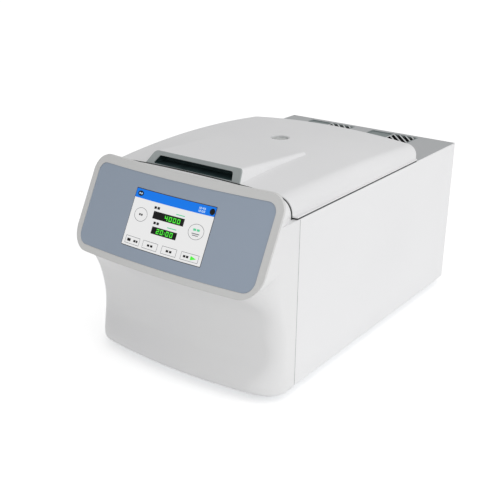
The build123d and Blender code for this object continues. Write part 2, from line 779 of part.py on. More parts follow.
def make_deck_edge_seal():
    """Rubber strip under the lid's edge, and the lip that stands in the seam along the console."""
    strip = deck_band(SEAL_INSET, SEAL_INSET + SEAL_WALL, deck_top, lid_low - SEAT_GAP)
    lip = seam_form(SEAL_PROUD) - seam_form(SEAL_PROUD - SEAL_LIP)
    lip &= behind_seam(FIT_GAP - SEAM_GAP) - behind_seam(-2 * FIT_GAP)
    return strip + lip


def make_chamber_bowl():
    """Deep drawn stainless bowl with a flat rim on the deck and a hole for the drive."""
    profile = Polyline(
        (DRIVE_HOLE, bowl_low),
        (bowl_outer, bowl_low),
        (bowl_outer, deck_top),
        (bowl_outer + BOWL_RIM, deck_top),
        (bowl_outer + BOWL_RIM, deck_top + BOWL_WALL),
        (CHAMBER_RADIUS, deck_top + BOWL_WALL),
        (CHAMBER_RADIUS, bowl_floor),
        (DRIVE_HOLE, bowl_floor),
        close=True,
    )
    bowl = revolve(Plane.XZ * Face(Wire(profile.edges())), Axis.Z)
    outer_corner = bowl.edges().filter_by(GeomType.CIRCLE).group_by(Axis.Z)[0].sort_by(SortBy.RADIUS)[-1]
    bowl = fillet(outer_corner, BOWL_CORNER + BOWL_WALL)
    floor_edges = bowl.edges().filter_by(GeomType.CIRCLE).filter_by(
        lambda edge: abs(edge.center().Z - bowl_floor) < FIT_GAP
    )
    bowl = fillet(floor_edges.sort_by(SortBy.RADIUS)[-1], BOWL_CORNER)
    return Pos(0, chamber_y, 0) * bowl


def least_gap(route):
    """Least clear distance between one turn of the coil and the next, measured on points."""
    count = COIL_POINTS * COIL_TURNS
    points = [route @ (number / count) for number in range(count + 1)]
    half_turn = COIL_POINTS // 2
    apart = []
    for number, point in enumerate(points):
        for other in points[number + half_turn:]:
            apart.append((other - point).length)
    return min(apart) - COIL_TUBE


def make_evaporator_coil():
    """Copper tube wound round the bowl, each half turn an arc that climbs half a pitch."""
    z = bowl_floor + BOWL_CORNER + COIL_TUBE
    side = 1
    path = []
    for _ in range(2 * COIL_TURNS):
        high = z + COIL_PITCH / 2
        middle_y = side * sqrt(coil_radius ** 2 + (COIL_PITCH / 4) ** 2)
        path.append(
            ThreePointArc(
                (side * coil_radius, chamber_y, z),
                (0, chamber_y + middle_y, (z + high) / 2),
                (-side * coil_radius, chamber_y, high),
            )
        )
        z = high
        side = -side
    route = Wire(path)
    section = Plane(route @ 0, z_dir=route % 0) * Circle(COIL_TUBE / 2)
    print("coil's least gap to itself, mm:", round(least_gap(route), 2))
    return sweep(section, route)


def make_insulation_foam():
    """Foam between the cooled bowl and the guard ring, with its floor under the bowl."""
    foam = ring(foam_outer, foam_inner, foam_low, deck_low, 0, chamber_y)
    floor = ring(foam_outer, DRIVE_HOLE, foam_low, bowl_low, 0, chamber_y)
    step_top = bowl_floor + BOWL_CORNER
    step = ring(foam_inner + FIT_GAP, bowl_outer + FIT_GAP, bowl_low, step_top, 0, chamber_y)
    return foam + floor + step


def make_guard_ring():
    """Thick steel ring from the chassis to the deck, with a port for pipes and cables."""
    guard = ring(armour_outer, armour_inner, chassis_top, deck_low, 0, chamber_y)
    back = chamber_y + armour_outer
    port_top = flange_low + GUARD_PORT
    return guard - block(-GUARD_PORT, GUARD_PORT, back - 4 * ARMOUR_WALL, back, chassis_top, port_top)


def make_motor_housing():
    """Motor can with cooling slots, standing on its flange."""
    flange = disc(MOTOR_FLANGE_RADIUS, flange_low, motor_low, 0, chamber_y)
    can = disc(MOTOR_RADIUS, motor_low, motor_top, 0, chamber_y)
    housing = flange + can
    hollow_low = motor_low + BEARING_HEIGHT
    hollow_top = motor_top - BEARING_HEIGHT
    housing -= disc(MOTOR_RADIUS - MOTOR_WALL, hollow_low, hollow_top, 0, chamber_y)
    housing -= disc(bearing_radius, flange_low - CUT_PAST, motor_top + CUT_PAST, 0, chamber_y)
    half = MOTOR_SLOT_WIDTH / 2
    slot_low = hollow_low + MOTOR_WALL
    slot_top = hollow_top - MOTOR_WALL
    slot = block(MOTOR_RADIUS - 2 * MOTOR_WALL, MOTOR_RADIUS + CUT_PAST, -half, half, slot_low, slot_top)
    for number in range(MOTOR_SLOTS):
        housing -= Pos(0, chamber_y, 0) * Rot(0, 0, 360.0 * number / MOTOR_SLOTS) * slot
    return housing


def make_motor_bearings():
    """Upper and lower shaft bearings, let into the motor's end walls."""
    outer = bearing_radius - SEAT_CLEARANCE
    inner = SHAFT_RADIUS + SHAFT_CLEARANCE
    bearings = []
    for low in (motor_low, motor_top - BEARING_HEIGHT):
        bearings.append(ring(outer, inner, low, low + BEARING_HEIGHT, 0, chamber_y))
    return Compound(children=bearings)


def make_motor_stator():
    """Wound stator inside the motor can."""
    middle = (motor_low + motor_top) / 2
    outer = MOTOR_RADIUS - MOTOR_WALL
    inner = outer - STATOR_WALL
    low = middle - STATOR_HEIGHT / 2
    return ring(outer - SEAT_CLEARANCE, inner, low, low + STATOR_HEIGHT, 0, chamber_y)


def make_motor_mounts():
    """Three rubber mounts between the motor flange and the chassis plate."""
    mounts = []
    reach = MOTOR_FLANGE_RADIUS - MOUNT_INSET
    for number in range(MOUNT_COUNT):
        angle = radians(90 + 360.0 * number / MOUNT_COUNT)
        x = reach * cos(angle)
        y = chamber_y + reach * sin(angle)
        waist = disc(MOUNT_WAIST_RADIUS, chassis_top, flange_low, x, y)
        rim = disc(MOUNT_RADIUS, chassis_top, chassis_top + MOUNT_RIM, x, y)
        cap = disc(MOUNT_RADIUS, flange_low - MOUNT_RIM, flange_low, x, y)
        mounts.append(waist + rim + cap)
    return Compound(children=mounts)


def make_motor_gaiter():
    """Rubber sleeve from the motor to the bowl's floor, clear of the shaft."""
    outer = DRIVE_HOLE - FIT_GAP
    return ring(outer, outer - GAITER_WALL, motor_top, bowl_floor + GAITER_RISE, 0, chamber_y)


def make_drive_shaft():
    """Motor shaft with a shoulder under the rotor."""
    low = flange_low + FLANGE_PLATE / 2
    top = rotor_low + ROTOR_HEIGHT - ROTOR_DISH - KNOB_STUD - ROTOR_DROP
    shaft = disc(SHAFT_RADIUS, low, top, 0, chamber_y)
    collar_low = motor_top + 2 * GAITER_RISE
    return shaft + disc(SHAFT_RADIUS + GAITER_RISE, collar_low, rotor_low, 0, chamber_y)


def make_motor_rotor():
    """Magnet rotor on the shaft, inside the stator."""
    middle = (motor_low + motor_top) / 2
    outer = MOTOR_RADIUS - MOTOR_WALL - STATOR_WALL - AIR_GAP
    inner = SHAFT_RADIUS + SHAFT_CLEARANCE
    low = middle - STATOR_HEIGHT / 2
    return ring(outer, inner, low, low + STATOR_HEIGHT, 0, chamber_y)


def lid_outside():
    """Outer form of the lid, lofted from its front, crest and rear cross-sections."""
    front_y = -LID_NOSE - OVERCUT
    stations = (
        (front_y, reach_front, SHOULDER_FRONT, CROWN_RADIUS_FRONT, LID_FOOT_FRONT),
        (crest_y, reach_rear, SHOULDER_REAR, CROWN_RADIUS_REAR, LID_FOOT_REAR),
        (lid_rear, reach_rear, SHOULDER_REAR, CROWN_RADIUS_REAR, LID_FOOT_REAR),
    )
    sections = []
    for y, reach, shoulder, crown, foot in stations:
        sections.append(crown_section(y, reach, shoulder, crown, foot, top_at(y), deck_low))
    body = loft(sections) & behind_seam(0)
    wide = half_width + CUT_PAST
    return body - block(-wide, wide, -LID_NOSE - CUT_PAST, lid_rear + CUT_PAST, 0, lid_low)


def lid_hollow():
    """Hollow of the lid, open underneath."""
    front_y = -LID_NOSE - OVERCUT
    wall = SHELL_WALL
    stations = (
        (front_y, reach_front, SHOULDER_FRONT, CROWN_RADIUS_FRONT),
        (crest_y, reach_rear, SHOULDER_REAR, CROWN_RADIUS_REAR),
        (lid_rear + OVERCUT, reach_rear, SHOULDER_REAR, CROWN_RADIUS_REAR),
    )
    sections = []
    for y, reach, shoulder, crown in stations:
        top = top_at(y) - wall
        sections.append(hollow_section(y, reach - wall, shoulder - wall, crown - wall, top, deck_low))
    room = block(-half_width, half_width, -LID_NOSE, lid_rear - wall, deck_low, crest_z)
    return loft(sections) & behind_seam(wall) & room


def hood_form(inset, length):
    """The hood's wedge, before its front is cut on the slant."""
    low = seam_top - 2 * OVERCUT if inset else seam_top - OVERCUT
    front_top = seam_top + HOOD_RISE - inset
    rear_y = HOOD_LENGTH - LID_NOSE
    rear_top = top_at(rear_y) + HOOD_FADE - inset
    front = hood_section(-LID_NOSE, HOOD_HALF_BOTTOM - inset, HOOD_HALF_TOP - inset, low, front_top)
    rear = hood_section(length, HOOD_HALF_REAR - inset, HOOD_HALF_REAR_TOP - inset, low, rear_top)
    return loft([front, rear])


def hood_section(y, half_low, half_top, low, top):
    """Trapezium with two round top corners."""
    corners = [(-half_low, low), (half_low, low), (half_top, top), (-half_top, top)]
    radii = [HOOD_FOOT_CORNER, HOOD_FOOT_CORNER, HOOD_CORNER, HOOD_CORNER]
    outline = FilletPolyline(*corners, radius=radii, close=True)
    return Plane.XZ.offset(-y) * Face(Wire(outline.edges()))


def behind_slant(set_back):
    """Everything behind the slanting front of the hood, moved back by a thickness."""
    size = 4 * half_width
    slab = Pos(0, size / 2 + set_back, 0) * Box(size, size, size)
    foot_z = seam_top - GRIP_SINK - POCKET_WALL
    return Pos(0, HOOD_SET_BACK - LID_NOSE, foot_z) * Rot(-HOOD_LEAN, 0, 0) * slab


def grip_form(grow, depth):
    """The grip pocket, or the body of its liner."""
    low = seam_top - GRIP_SINK - grow
    top = seam_top + HOOD_RISE - GRIP_ROOF + grow
    corners = [
        (-GRIP_HALF_BOTTOM - grow, low),
        (GRIP_HALF_BOTTOM + grow, low),
        (GRIP_HALF_TOP + grow, top),
        (-GRIP_HALF_TOP - grow, top),
    ]
    radii = [HOOD_FOOT_CORNER, HOOD_FOOT_CORNER, GRIP_CORNER + grow, GRIP_CORNER + grow]
    outline = FilletPolyline(*corners, radius=radii, close=True)
    return through_y(Face(Wire(outline.edges())), -LID_NOSE - OVERCUT, -LID_NOSE + depth)


def make_grip_surround():
    """Grey frame on the slanting front of the hood, round the grip pocket."""
    frame = hood_form(0, HOOD_LENGTH - LID_NOSE) & (behind_slant(0) - behind_slant(SURROUND_PLATE))
    foot_z = seam_top - GRIP_SINK - POCKET_WALL
    frame -= block(-half_width, half_width, -2 * half_width, half_width, 0, foot_z)
    return (frame - grip_form(0, GRIP_DEPTH)) & behind_seam(0)


def make_grip_pocket():
    """Dark liner of the grip pocket, behind the surround."""
    tray = grip_form(POCKET_WALL, GRIP_DEPTH + POCKET_WALL) - grip_form(0, GRIP_DEPTH)
    return tray & behind_slant(SURROUND_PLATE) & behind_seam(0)


def make_lid_shell():
    """Moulded lid: crowned shell with the hood, bosses for the liner and the sight port's hole."""
    outside = lid_outside()
    hood = hood_form(0, HOOD_LENGTH - LID_NOSE) & behind_slant(SURROUND_PLATE) & behind_seam(0)
    hollow = lid_hollow()
    hood_room = hood_form(SHELL_WALL, HOOD_LENGTH - LID_NOSE) & behind_slant(SURROUND_PLATE + SHELL_WALL)
    shell = (outside + hood) - hollow - (hood_room & behind_seam(SHELL_WALL))
    shell -= grip_form(POCKET_WALL, GRIP_DEPTH + POCKET_WALL) & behind_slant(SURROUND_PLATE)
    foot_z = seam_top - GRIP_SINK - POCKET_WALL
    frame_room = block(-half_width, half_width, -half_width, half_width, foot_z, crest_z + OVERCUT)
    frame_room &= behind_slant(-OVERCUT) - behind_slant(SURROUND_PLATE)
    shell -= hood_form(0, HOOD_LENGTH - LID_NOSE) & frame_room
    for x, y in boss_places():
        boss = disc(LID_BOSS_RADIUS, liner_top, crest_z, x, y)
        shell += boss & outside
    port = PORT_RADIUS + PORT_TUBE_WALL + FIT_GAP
    return shell - disc(port, liner_top, crest_z + CUT_PAST, 0, chamber_y)


def boss_places():
    """Where the liner is screwed up into the lid."""
    x = reach_front - SHELL_WALL - LID_BOSS_INSET
    rear_y = lid_rear - SHELL_WALL - LID_BOSS_INSET
    return [(side * x, y) for side in (-1, 1) for y in (LID_BOSS_INSET, crest_y, rear_y)]


def make_lid_liner():
    """Flat inner plate that closes the lid."""
    edge = SHELL_WALL + FIT_GAP
    half = reach_front - edge
    plate = behind_seam(edge) & block(-half, half, -LID_NOSE, lid_rear - edge, liner_low, liner_top)
    return plate - disc(PORT_RADIUS, liner_low - CUT_PAST, liner_top + CUT_PAST, 0, chamber_y)


def make_lid_gasket():
    """Rubber gasket on the liner that closes on the bowl's rim."""
    low = deck_top + BOWL_WALL + SEAT_GAP
    outer = CHAMBER_RADIUS + GASKET_WALL
    flange_low_z = liner_low - GASKET_FLANGE_PLATE
    lip = ring(outer, CHAMBER_RADIUS + GASKET_LIP_INSET, low, liner_low, 0, chamber_y)
    return lip + ring(outer + GASKET_FLANGE, CHAMBER_RADIUS, flange_low_z, liner_low, 0, chamber_y)


def make_lid_insulation():
    """Foam disc in the lid, on the liner."""
    port = PORT_RADIUS + PORT_TUBE_WALL + FIT_GAP
    return ring(LID_FOAM_RADIUS, port, liner_top, liner_top + LID_FOAM_HEIGHT, 0, chamber_y)


def make_port_tube():
    """Sleeve of the sight port, from the liner to the lid's top."""
    top = top_at(chamber_y) - HOOD_FADE
    tube = ring(PORT_RADIUS + PORT_TUBE_WALL, PORT_RADIUS, liner_top, top, 0, chamber_y)
    seat_top = top - PORT_SINK - PORT_GLASS
    seat_low = seat_top - PORT_TUBE_WALL
    ledge = PORT_RADIUS - PORT_TUBE_WALL
    return tube + ring(PORT_RADIUS + PORT_LEDGE, ledge, seat_low, seat_top, 0, chamber_y)


def make_port_glass():
    """Disc of the sight port, sunk a little in its sleeve."""
    top = top_at(chamber_y) - HOOD_FADE - PORT_SINK
    return disc(PORT_RADIUS - SEAT_CLEARANCE, top - PORT_GLASS, top, 0, chamber_y)


def make_hinge_arm(side):
    """Lid half of one hinge: a plate on the lid's rear wall and a barrel."""
    x = side * HINGE_X
    half = BARREL_LENGTH / 2
    front = hinge_y - BARREL_RADIUS
    arm = block(x - half, x + half, lid_rear, front, lid_low + FIT_GAP, hinge_z + 2 * BARREL_RADIUS)
    arm += block(x - half, x + half, lid_rear, hinge_y, hinge_z - ARM_PLATE / 2, hinge_z + BARREL_RADIUS)
    arm += rod_x(BARREL_RADIUS, x - half, x + half, hinge_y, hinge_z)
    reach = half + CUT_PAST
    return arm - rod_x(HINGE_PIN_RADIUS + SHAFT_CLEARANCE, x - reach, x + reach, hinge_y, hinge_z)


def make_hinge_bracket(side):
    """Fixed half of one hinge: a foot on the rear cover and two ears."""
    x = side * HINGE_X
    half = BARREL_LENGTH / 2 + EAR_GAP
    end = half + EAR_LENGTH
    front = hinge_y - BARREL_RADIUS
    rear = hinge_y + 2 * BARREL_RADIUS
    bracket = block(x - end, x + end, front, rear, deck_top, deck_top + SHEET)
    for x0, x1 in ((x - end, x - half), (x + half, x + end)):
        bracket += block(x0, x1, front, hinge_y + BARREL_RADIUS, deck_top, hinge_z)
        bracket += rod_x(BARREL_RADIUS, x0, x1, hinge_y, hinge_z)
    reach = end + CUT_PAST
    return bracket - rod_x(HINGE_PIN_RADIUS + SHAFT_CLEARANCE, x - reach, x + reach, hinge_y, hinge_z)


def make_hinge_pins():
    """One headed pin for each hinge."""
    pins = []
    end = BARREL_LENGTH / 2 + EAR_GAP + EAR_LENGTH
    for x in (-HINGE_X, HINGE_X):
        pin = rod_x(HINGE_PIN_RADIUS, x - end, x + end, hinge_y, hinge_z)
        for x0 in (x - end - PIN_HEAD, x + end):
            pin += rod_x(HINGE_PIN_RADIUS + PIN_HEAD, x0, x0 + PIN_HEAD, hinge_y, hinge_z)
        pins.append(pin)
    return Compound(children=pins)


def make_lid_striker():
    """Loop under the lid's nose that the latch hook pulls down."""
    bar_low = deck_top - STRIKER_DROP
    outer = STRIKER_WIDTH / 2
    inner = outer - STRIKER_PLATE
    y0 = LATCH_Y - STRIKER_BAR / 2
    y1 = LATCH_Y + STRIKER_BAR / 2
    loop = block(-outer, outer, y0, y1, bar_low, liner_low)
    eye_low = bar_low + STRIKER_BAR
    eye_top = liner_low - STRIKER_PLATE
    loop -= block(-inner, inner, y0 - CUT_PAST, y1 + CUT_PAST, eye_low, eye_top)
    foot = Pos(0, LATCH_Y, liner_low - SHEET) * SlotOverall(2 * STRIKER_WIDTH, STRIKER_WIDTH)
    return loop + upwards(foot, SHEET)


def make_latch_bracket():
    """Two cheeks under the deck with the pivot pin of the hook."""
    inner = LATCH_SLOT_WIDTH / 2 + FIT_GAP
    outer = inner + LATCH_CHEEK
    bracket = rod_x(HOOK_PIN_RADIUS, -outer, outer, LATCH_Y, hook_z)
    for x0, x1 in ((-outer, -inner), (inner, outer)):
        cheek = block(x0, x1, LATCH_Y - HOOK_RADIUS / 2, LATCH_Y + HOOK_RADIUS / 2, hook_z, deck_low)
        bracket += cheek + rod_x(HOOK_RADIUS / 2, x0, x1, LATCH_Y, hook_z)
    return bracket


def make_latch_motor():
    """Gear motor of the latch, on the bracket's right cheek."""
    start = LATCH_SLOT_WIDTH / 2 + FIT_GAP + LATCH_CHEEK
    middle = start + LATCH_GEARBOX_LENGTH
    gearbox = rod_x(LATCH_GEARBOX_RADIUS, start, middle, LATCH_Y, hook_z)
    return gearbox + rod_x(LATCH_MOTOR_RADIUS, middle, middle + LATCH_MOTOR_LENGTH, LATCH_Y, hook_z)


def sector(inner, outer, start, end, x0, x1):
    """Part of a ring round the hook's pivot, between two angles off the vertical."""
    def at(radius, angle):
        return (LATCH_Y - radius * sin(radians(angle)), hook_z + radius * cos(radians(angle)))
    middle = (start + end) / 2
    edges = [
        ThreePointArc(at(outer, start), at(outer, middle), at(outer, end)),
        Line(at(outer, end), at(inner, end)),
        ThreePointArc(at(inner, end), at(inner, middle), at(inner, start)),
        Line(at(inner, start), at(outer, start)),
    ]
    return extrude(Plane.YZ.offset(x0) * Face(Wire(edges)), amount=x1 - x0, dir=(1, 0, 0))


def make_latch_hook():
    """Claw that swings over the striker's bar, shown let go."""
    half = HOOK_PLATE / 2
    outer = HOOK_RADIUS + HOOK_BAND
    end = HOOK_SWING + HOOK_SPAN
    claw = sector(HOOK_RADIUS, outer, HOOK_SWING - HOOK_TIP, end, -half, half)
    arm = sector(HOOK_PIN_RADIUS, outer, HOOK_SWING + HOOK_CLEAR, end, -half, half)
    hub_half = LATCH_SLOT_WIDTH / 2 - FIT_GAP
    hub = rod_x(2 * HOOK_PIN_RADIUS, -hub_half, hub_half, LATCH_Y, hook_z)
    reach = hub_half + CUT_PAST
    bore = rod_x(HOOK_PIN_RADIUS + SHAFT_CLEARANCE, -reach, reach, LATCH_Y, hook_z)
    return claw + arm + hub - bore


def make_angle_rotor():
    """Solid aluminium rotor with slanting bores for conical tubes."""
    hole = SHAFT_RADIUS + SHAFT_CLEARANCE
    rim_top = ROTOR_HEIGHT - ROTOR_DROP
    profile = Polyline(
        (hole, 0),
        (ROTOR_BASE_RADIUS, 0),
        (ROTOR_RADIUS, rim_top - ROTOR_RIM),
        (ROTOR_RADIUS, rim_top),
        (ROTOR_TOP_RADIUS, ROTOR_HEIGHT),
        (ROTOR_DISH_RADIUS, ROTOR_HEIGHT),
        (ROTOR_DISH_RADIUS - ROTOR_DISH / 2, dish_rise),
        (KNOB_STUD_RADIUS + SHAFT_CLEARANCE, dish_rise),
        (KNOB_STUD_RADIUS + SHAFT_CLEARANCE, dish_rise - KNOB_STUD - ROTOR_DROP),
        (hole, dish_rise - KNOB_STUD - ROTOR_DROP),
        close=True,
    )
    rotor = revolve(Plane.XZ * Face(Wire(profile.edges())), Axis.Z)
    straight = TUBE_DEPTH - TUBE_CONE
    bore = Pos(0, 0, (2 * OVERCUT - straight) / 2) * Cylinder(TUBE_RADIUS, straight + 2 * OVERCUT)
    tip = Pos(0, 0, -straight - TUBE_CONE / 2) * Cone(TUBE_TIP_RADIUS, TUBE_RADIUS, TUBE_CONE)
    tube = bore + tip
    for number in range(TUBE_COUNT):
        angle = 360.0 * number / TUBE_COUNT
        rotor -= Rot(0, 0, angle) * Pos(TUBE_MOUTH_RADIUS, 0, dish_rise) * Rot(0, -TUBE_ANGLE, 0) * tube
    return Pos(0, chamber_y, rotor_low) * rotor


def make_rotor_lid():
    """Clear lid on the rotor, resting on its rim and on the middle of the dish."""
    top = ROTOR_HEIGHT + ROTOR_LID_PLATE
    edge = (ROTOR_TOP_RADIUS + ROTOR_DISH_RADIUS) / 2
    profile = Polyline(
        (KNOB_STUD_RADIUS + SHAFT_CLEARANCE, dish_rise),
        (KNOB_RADIUS, dish_rise),
        (KNOB_RADIUS + ROTOR_LID_PLATE, ROTOR_HEIGHT),
        (edge, ROTOR_HEIGHT),
        (edge, ROTOR_HEIGHT + ROTOR_LID_PLATE / 2),
        (edge - ROTOR_LID_PLATE, top),
        (2 * KNOB_RADIUS, top),
        (KNOB_RADIUS + ROTOR_LID_RISE, top + ROTOR_LID_RISE),
        (KNOB_STUD_RADIUS + SHAFT_CLEARANCE, top + ROTOR_LID_RISE),
        close=True,
    )
    lid = revolve(Plane.XZ * Face(Wire(profile.edges())), Axis.Z)
    return Pos(0, chamber_y, rotor_low) * lid


def make_rotor_knob():
    """Fluted knob whose stud holds the rotor lid and the rotor on the shaft."""
    low = rotor_low + ROTOR_HEIGHT + ROTOR_LID_PLATE + ROTOR_LID_RISE + SEAT_GAP
    knob = disc(KNOB_RADIUS, low, low + KNOB_HEIGHT)
    knob = chamfer(knob.edges().group_by(Axis.Z)[-1], KNOB_FLUTE_RADIUS / 2)
    for number in range(KNOB_FLUTES):
        angle = radians(360.0 * number / KNOB_FLUTES)
        reach = KNOB_RADIUS + KNOB_FLUTE_RADIUS / 2
        x = reach * cos(angle)
        y = reach * sin(angle)
        knob -= disc(KNOB_FLUTE_RADIUS, low + KNOB_FLUTE_RADIUS, low + KNOB_HEIGHT + CUT_PAST, x, y)
    stud = disc(KNOB_STUD_RADIUS, rotor_low + dish_rise - KNOB_STUD, low)
    return Pos(0, chamber_y, 0) * (knob + stud)


def make_compressor():
    """Hermetic compressor pot with domed ends, on its foot plate."""
    low = chassis_top + GROMMET_HEIGHT
    plate_half = COMPRESSOR_RADIUS + SHELL_WALL
    plate = Box(2 * plate_half, 2 * plate_half, SHELL_WALL)
    plate = fillet(plate.edges().filter_by(Axis.Z), GROMMET_RADIUS)
    pot_low = low + SHELL_WALL
    pot_top = pot_low + COMPRESSOR_HEIGHT
    weld = (pot_low + pot_top) / 2
    profile = [
        Line((0, pot_low), (COMPRESSOR_RADIUS - SHELL_WALL, pot_low)),
        Line((COMPRESSOR_RADIUS - SHELL_WALL, pot_low), (COMPRESSOR_RADIUS - SHELL_WALL, weld)),
        Line((COMPRESSOR_RADIUS - SHELL_WALL, weld), (COMPRESSOR_RADIUS, weld)),
        Line((COMPRESSOR_RADIUS, weld), (COMPRESSOR_RADIUS, pot_top - COMPRESSOR_DOME)),
        RadiusArc(
            (COMPRESSOR_RADIUS, pot_top - COMPRESSOR_DOME),
            (COMPRESSOR_RADIUS - COMPRESSOR_DOME, pot_top),
            -COMPRESSOR_DOME,
        ),
        Line((COMPRESSOR_RADIUS - COMPRESSOR_DOME, pot_top), (0, pot_top)),
        Line((0, pot_top), (0, pot_low)),
    ]
    pot = revolve(Plane.XZ * Face(Wire(profile)), Axis.Z)
    body = Pos(COMPRESSOR_X, rear_bay_y, 0) * pot
    return body + Pos(COMPRESSOR_X, rear_bay_y, low + SHELL_WALL / 2) * plate


def make_compressor_grommets():
    """Four rubber grommets under the compressor's foot plate."""
    reach = COMPRESSOR_RADIUS - GROMMET_RADIUS
    grommets = []
    for side_x in (-1, 1):
        for side_y in (-1, 1):
            x = COMPRESSOR_X + side_x * reach
            y = rear_bay_y + side_y * reach
            grommets.append(disc(GROMMET_RADIUS, chassis_top, chassis_top + GROMMET_HEIGHT, x, y))
    return Compound(children=grommets)


def make_condenser():
    """Finned condenser block between two end plates that stand on the chassis."""
    half = CONDENSER_SIZE / 2
    low = chassis_top + CONDENSER_LIFT
    x0 = CONDENSER_X - half
    x1 = CONDENSER_X + half
    core = block(x0, x1, condenser_y0, condenser_y1, low, low + CONDENSER_SIZE)
    count = int((CONDENSER_SIZE - 2 * FIN_PITCH) / FIN_PITCH)
    for number in range(count):
        z = low + CONDENSER_SIZE / 2 + (number - (count - 1) / 2) * FIN_PITCH
        z0 = z - FIN_SLOT / 2
        z1 = z + FIN_SLOT / 2
        slot_ends = (
            (condenser_y0 - CUT_PAST, condenser_y0 + FIN_DEPTH),
            (condenser_y1 - FIN_DEPTH, condenser_y1 + CUT_PAST),
        )
        for front, rear in slot_ends:
            core -= block(x0 + FIN_SLOT, x1 - FIN_SLOT, front, rear, z0, z1)
    for foot_x in (x0, x1 - FIN_SLOT):
        core += block(foot_x, foot_x + FIN_SLOT, condenser_y0, condenser_y1, chassis_top, low)
    return core


def make_fan_shroud():
    """Square fan frame on the condenser, with the motor's hub and its spokes."""
    half = CONDENSER_SIZE / 2
    low = fan_z - half
    frame = block(CONDENSER_X - half, CONDENSER_X + half, condenser_y1, fan_rear, low, low + CONDENSER_SIZE)
    frame -= rod_y(FAN_BORE_RADIUS, condenser_y1 - CUT_PAST, fan_rear + CUT_PAST, CONDENSER_X, fan_z)
    hub_back = condenser_y1 + FAN_GAP + SHELL_WALL
    reach = FAN_BORE_RADIUS + CUT_PAST
    spokes = block(-reach, reach, condenser_y1, hub_back, -SHELL_WALL, SHELL_WALL)
    for angle in (45, 135):
        frame += Pos(CONDENSER_X, 0, fan_z) * Rot(0, angle, 0) * spokes
    frame += rod_y(FAN_HUB_RADIUS - SHELL_WALL, condenser_y1, hub_back, CONDENSER_X, fan_z)
    pin_end = fan_rear - FAN_GAP - SHELL_WALL
    return frame + rod_y(FAN_PIN_RADIUS, condenser_y1, pin_end, CONDENSER_X, fan_z)


def make_fan_impeller():
    """Five pitched blades on a hub that turns on the frame's pin."""
    front = condenser_y1 + FAN_GAP + SHELL_WALL + SEAT_GAP
    rear = fan_rear - FAN_GAP + SEAT_GAP
    middle = (front + rear) / 2
    tip = FAN_BORE_RADIUS - FAN_TIP_GAP
    chord = (rear - front - BLADE_PLATE) / sin(radians(BLADE_PITCH))
    length = tip - FAN_HUB_RADIUS + 2 * BLADE_ROOT
    blade = Rot(BLADE_PITCH, 0, 0) * Box(length, BLADE_PLATE, chord)
    blade = Pos((tip + FAN_HUB_RADIUS) / 2, 0, 0) * blade
    wheel = rod_y(FAN_HUB_RADIUS, front, rear, 0, 0)
    sweep_room = rod_y(tip, front, rear, 0, 0)
    for number in range(FAN_BLADES):
        turned = Rot(0, 360.0 * number / FAN_BLADES, 0) * Rot(180, 0, 0) * blade
        wheel += (Pos(0, middle, 0) * turned) & sweep_room
    wheel -= rod_y(FAN_PIN_RADIUS + SHAFT_CLEARANCE, front - CUT_PAST, rear - SHELL_WALL, 0, 0)
    return Pos(CONDENSER_X, 0, fan_z) * wheel


def tube_along(points, radius, bend):
    """Round pipe along straight runs with round bends."""
    route = Wire(FilletPolyline(*points, radius=bend).edges())
    return sweep(Plane(route @ 0, z_dir=route % 0) * Circle(radius), route)


def make_discharge_pipe():
    """Pipe from the compressor's top to the condenser."""
    pot_top = chassis_top + GROMMET_HEIGHT + SHELL_WALL + COMPRESSOR_HEIGHT
    high = pot_top + PIPE_BEND + PIPE_RADIUS
    port_x = CONDENSER_X - CONDENSER_SIZE / 2 + 2 * PIPE_BEND
    port_y = (condenser_y0 + condenser_y1) / 2
    port_z = chassis_top + CONDENSER_LIFT + CONDENSER_SIZE
    points = [
        (COMPRESSOR_X, rear_bay_y, pot_top),
        (COMPRESSOR_X, rear_bay_y, high),
        (port_x, rear_bay_y, high),
        (port_x, port_y, high),
        (port_x, port_y, port_z),
    ]
    return tube_along(points, PIPE_RADIUS, PIPE_BEND)


def make_liquid_pipe():
    """Pipe from the condenser's foot forward to the guard ring's port."""
    port_x = CONDENSER_X - CONDENSER_SIZE / 2 + 2 * PIPE_BEND
    port_z = chassis_top + CONDENSER_LIFT + FIN_PITCH
    front = chamber_y + armour_outer - ARMOUR_WALL
    points = [
        (port_x, condenser_y0, port_z),
        (port_x, rear_bay_y, port_z),
        (0, rear_bay_y, port_z),
        (0, front, port_z),
    ]
    return tube_along(points, PIPE_RADIUS, PIPE_BEND)


def make_filter_drier():
    """Filter drier on the liquid pipe, just behind the guard ring."""
    z = chassis_top + CONDENSER_LIFT + FIN_PITCH
    start = chamber_y + armour_outer + ARMOUR_WALL / 2
    end = start + DRIER_LENGTH
    drier = rod_y(DRIER_RADIUS, start, end, 0, z)
    drier = chamfer(drier.edges().filter_by(GeomType.CIRCLE), DRIER_RADIUS / 2)
    return drier - rod_y(PIPE_RADIUS + SHAFT_CLEARANCE, start - CUT_PAST, end + CUT_PAST, 0, z)


def make_inverter():
    """Drive electronics with a finned heat sink, fixed to the rear panel."""
    z1 = deck_low - INVERTER_DROP
    z0 = z1 - INVERTER_HEIGHT
    x0 = CONDENSER_X - INVERTER_WIDTH / 2
    x1 = CONDENSER_X + INVERTER_WIDTH / 2
    y0 = rear_inner - INVERTER_DEPTH
    body = block(x0, x1, y0, rear_inner, z0, z1)
    count = int(INVERTER_WIDTH / FIN_PITCH)
    for number in range(count):
        x = CONDENSER_X + (number - (count - 1) / 2) * FIN_PITCH
        slot_x = x - FIN_SLOT / 2
        slot_end = y0 + 2 * FIN_DEPTH
        body -= block(slot_x, slot_x + FIN_SLOT, y0 - CUT_PAST, slot_end, z0 - CUT_PAST, z1 + CUT_PAST)
    return body


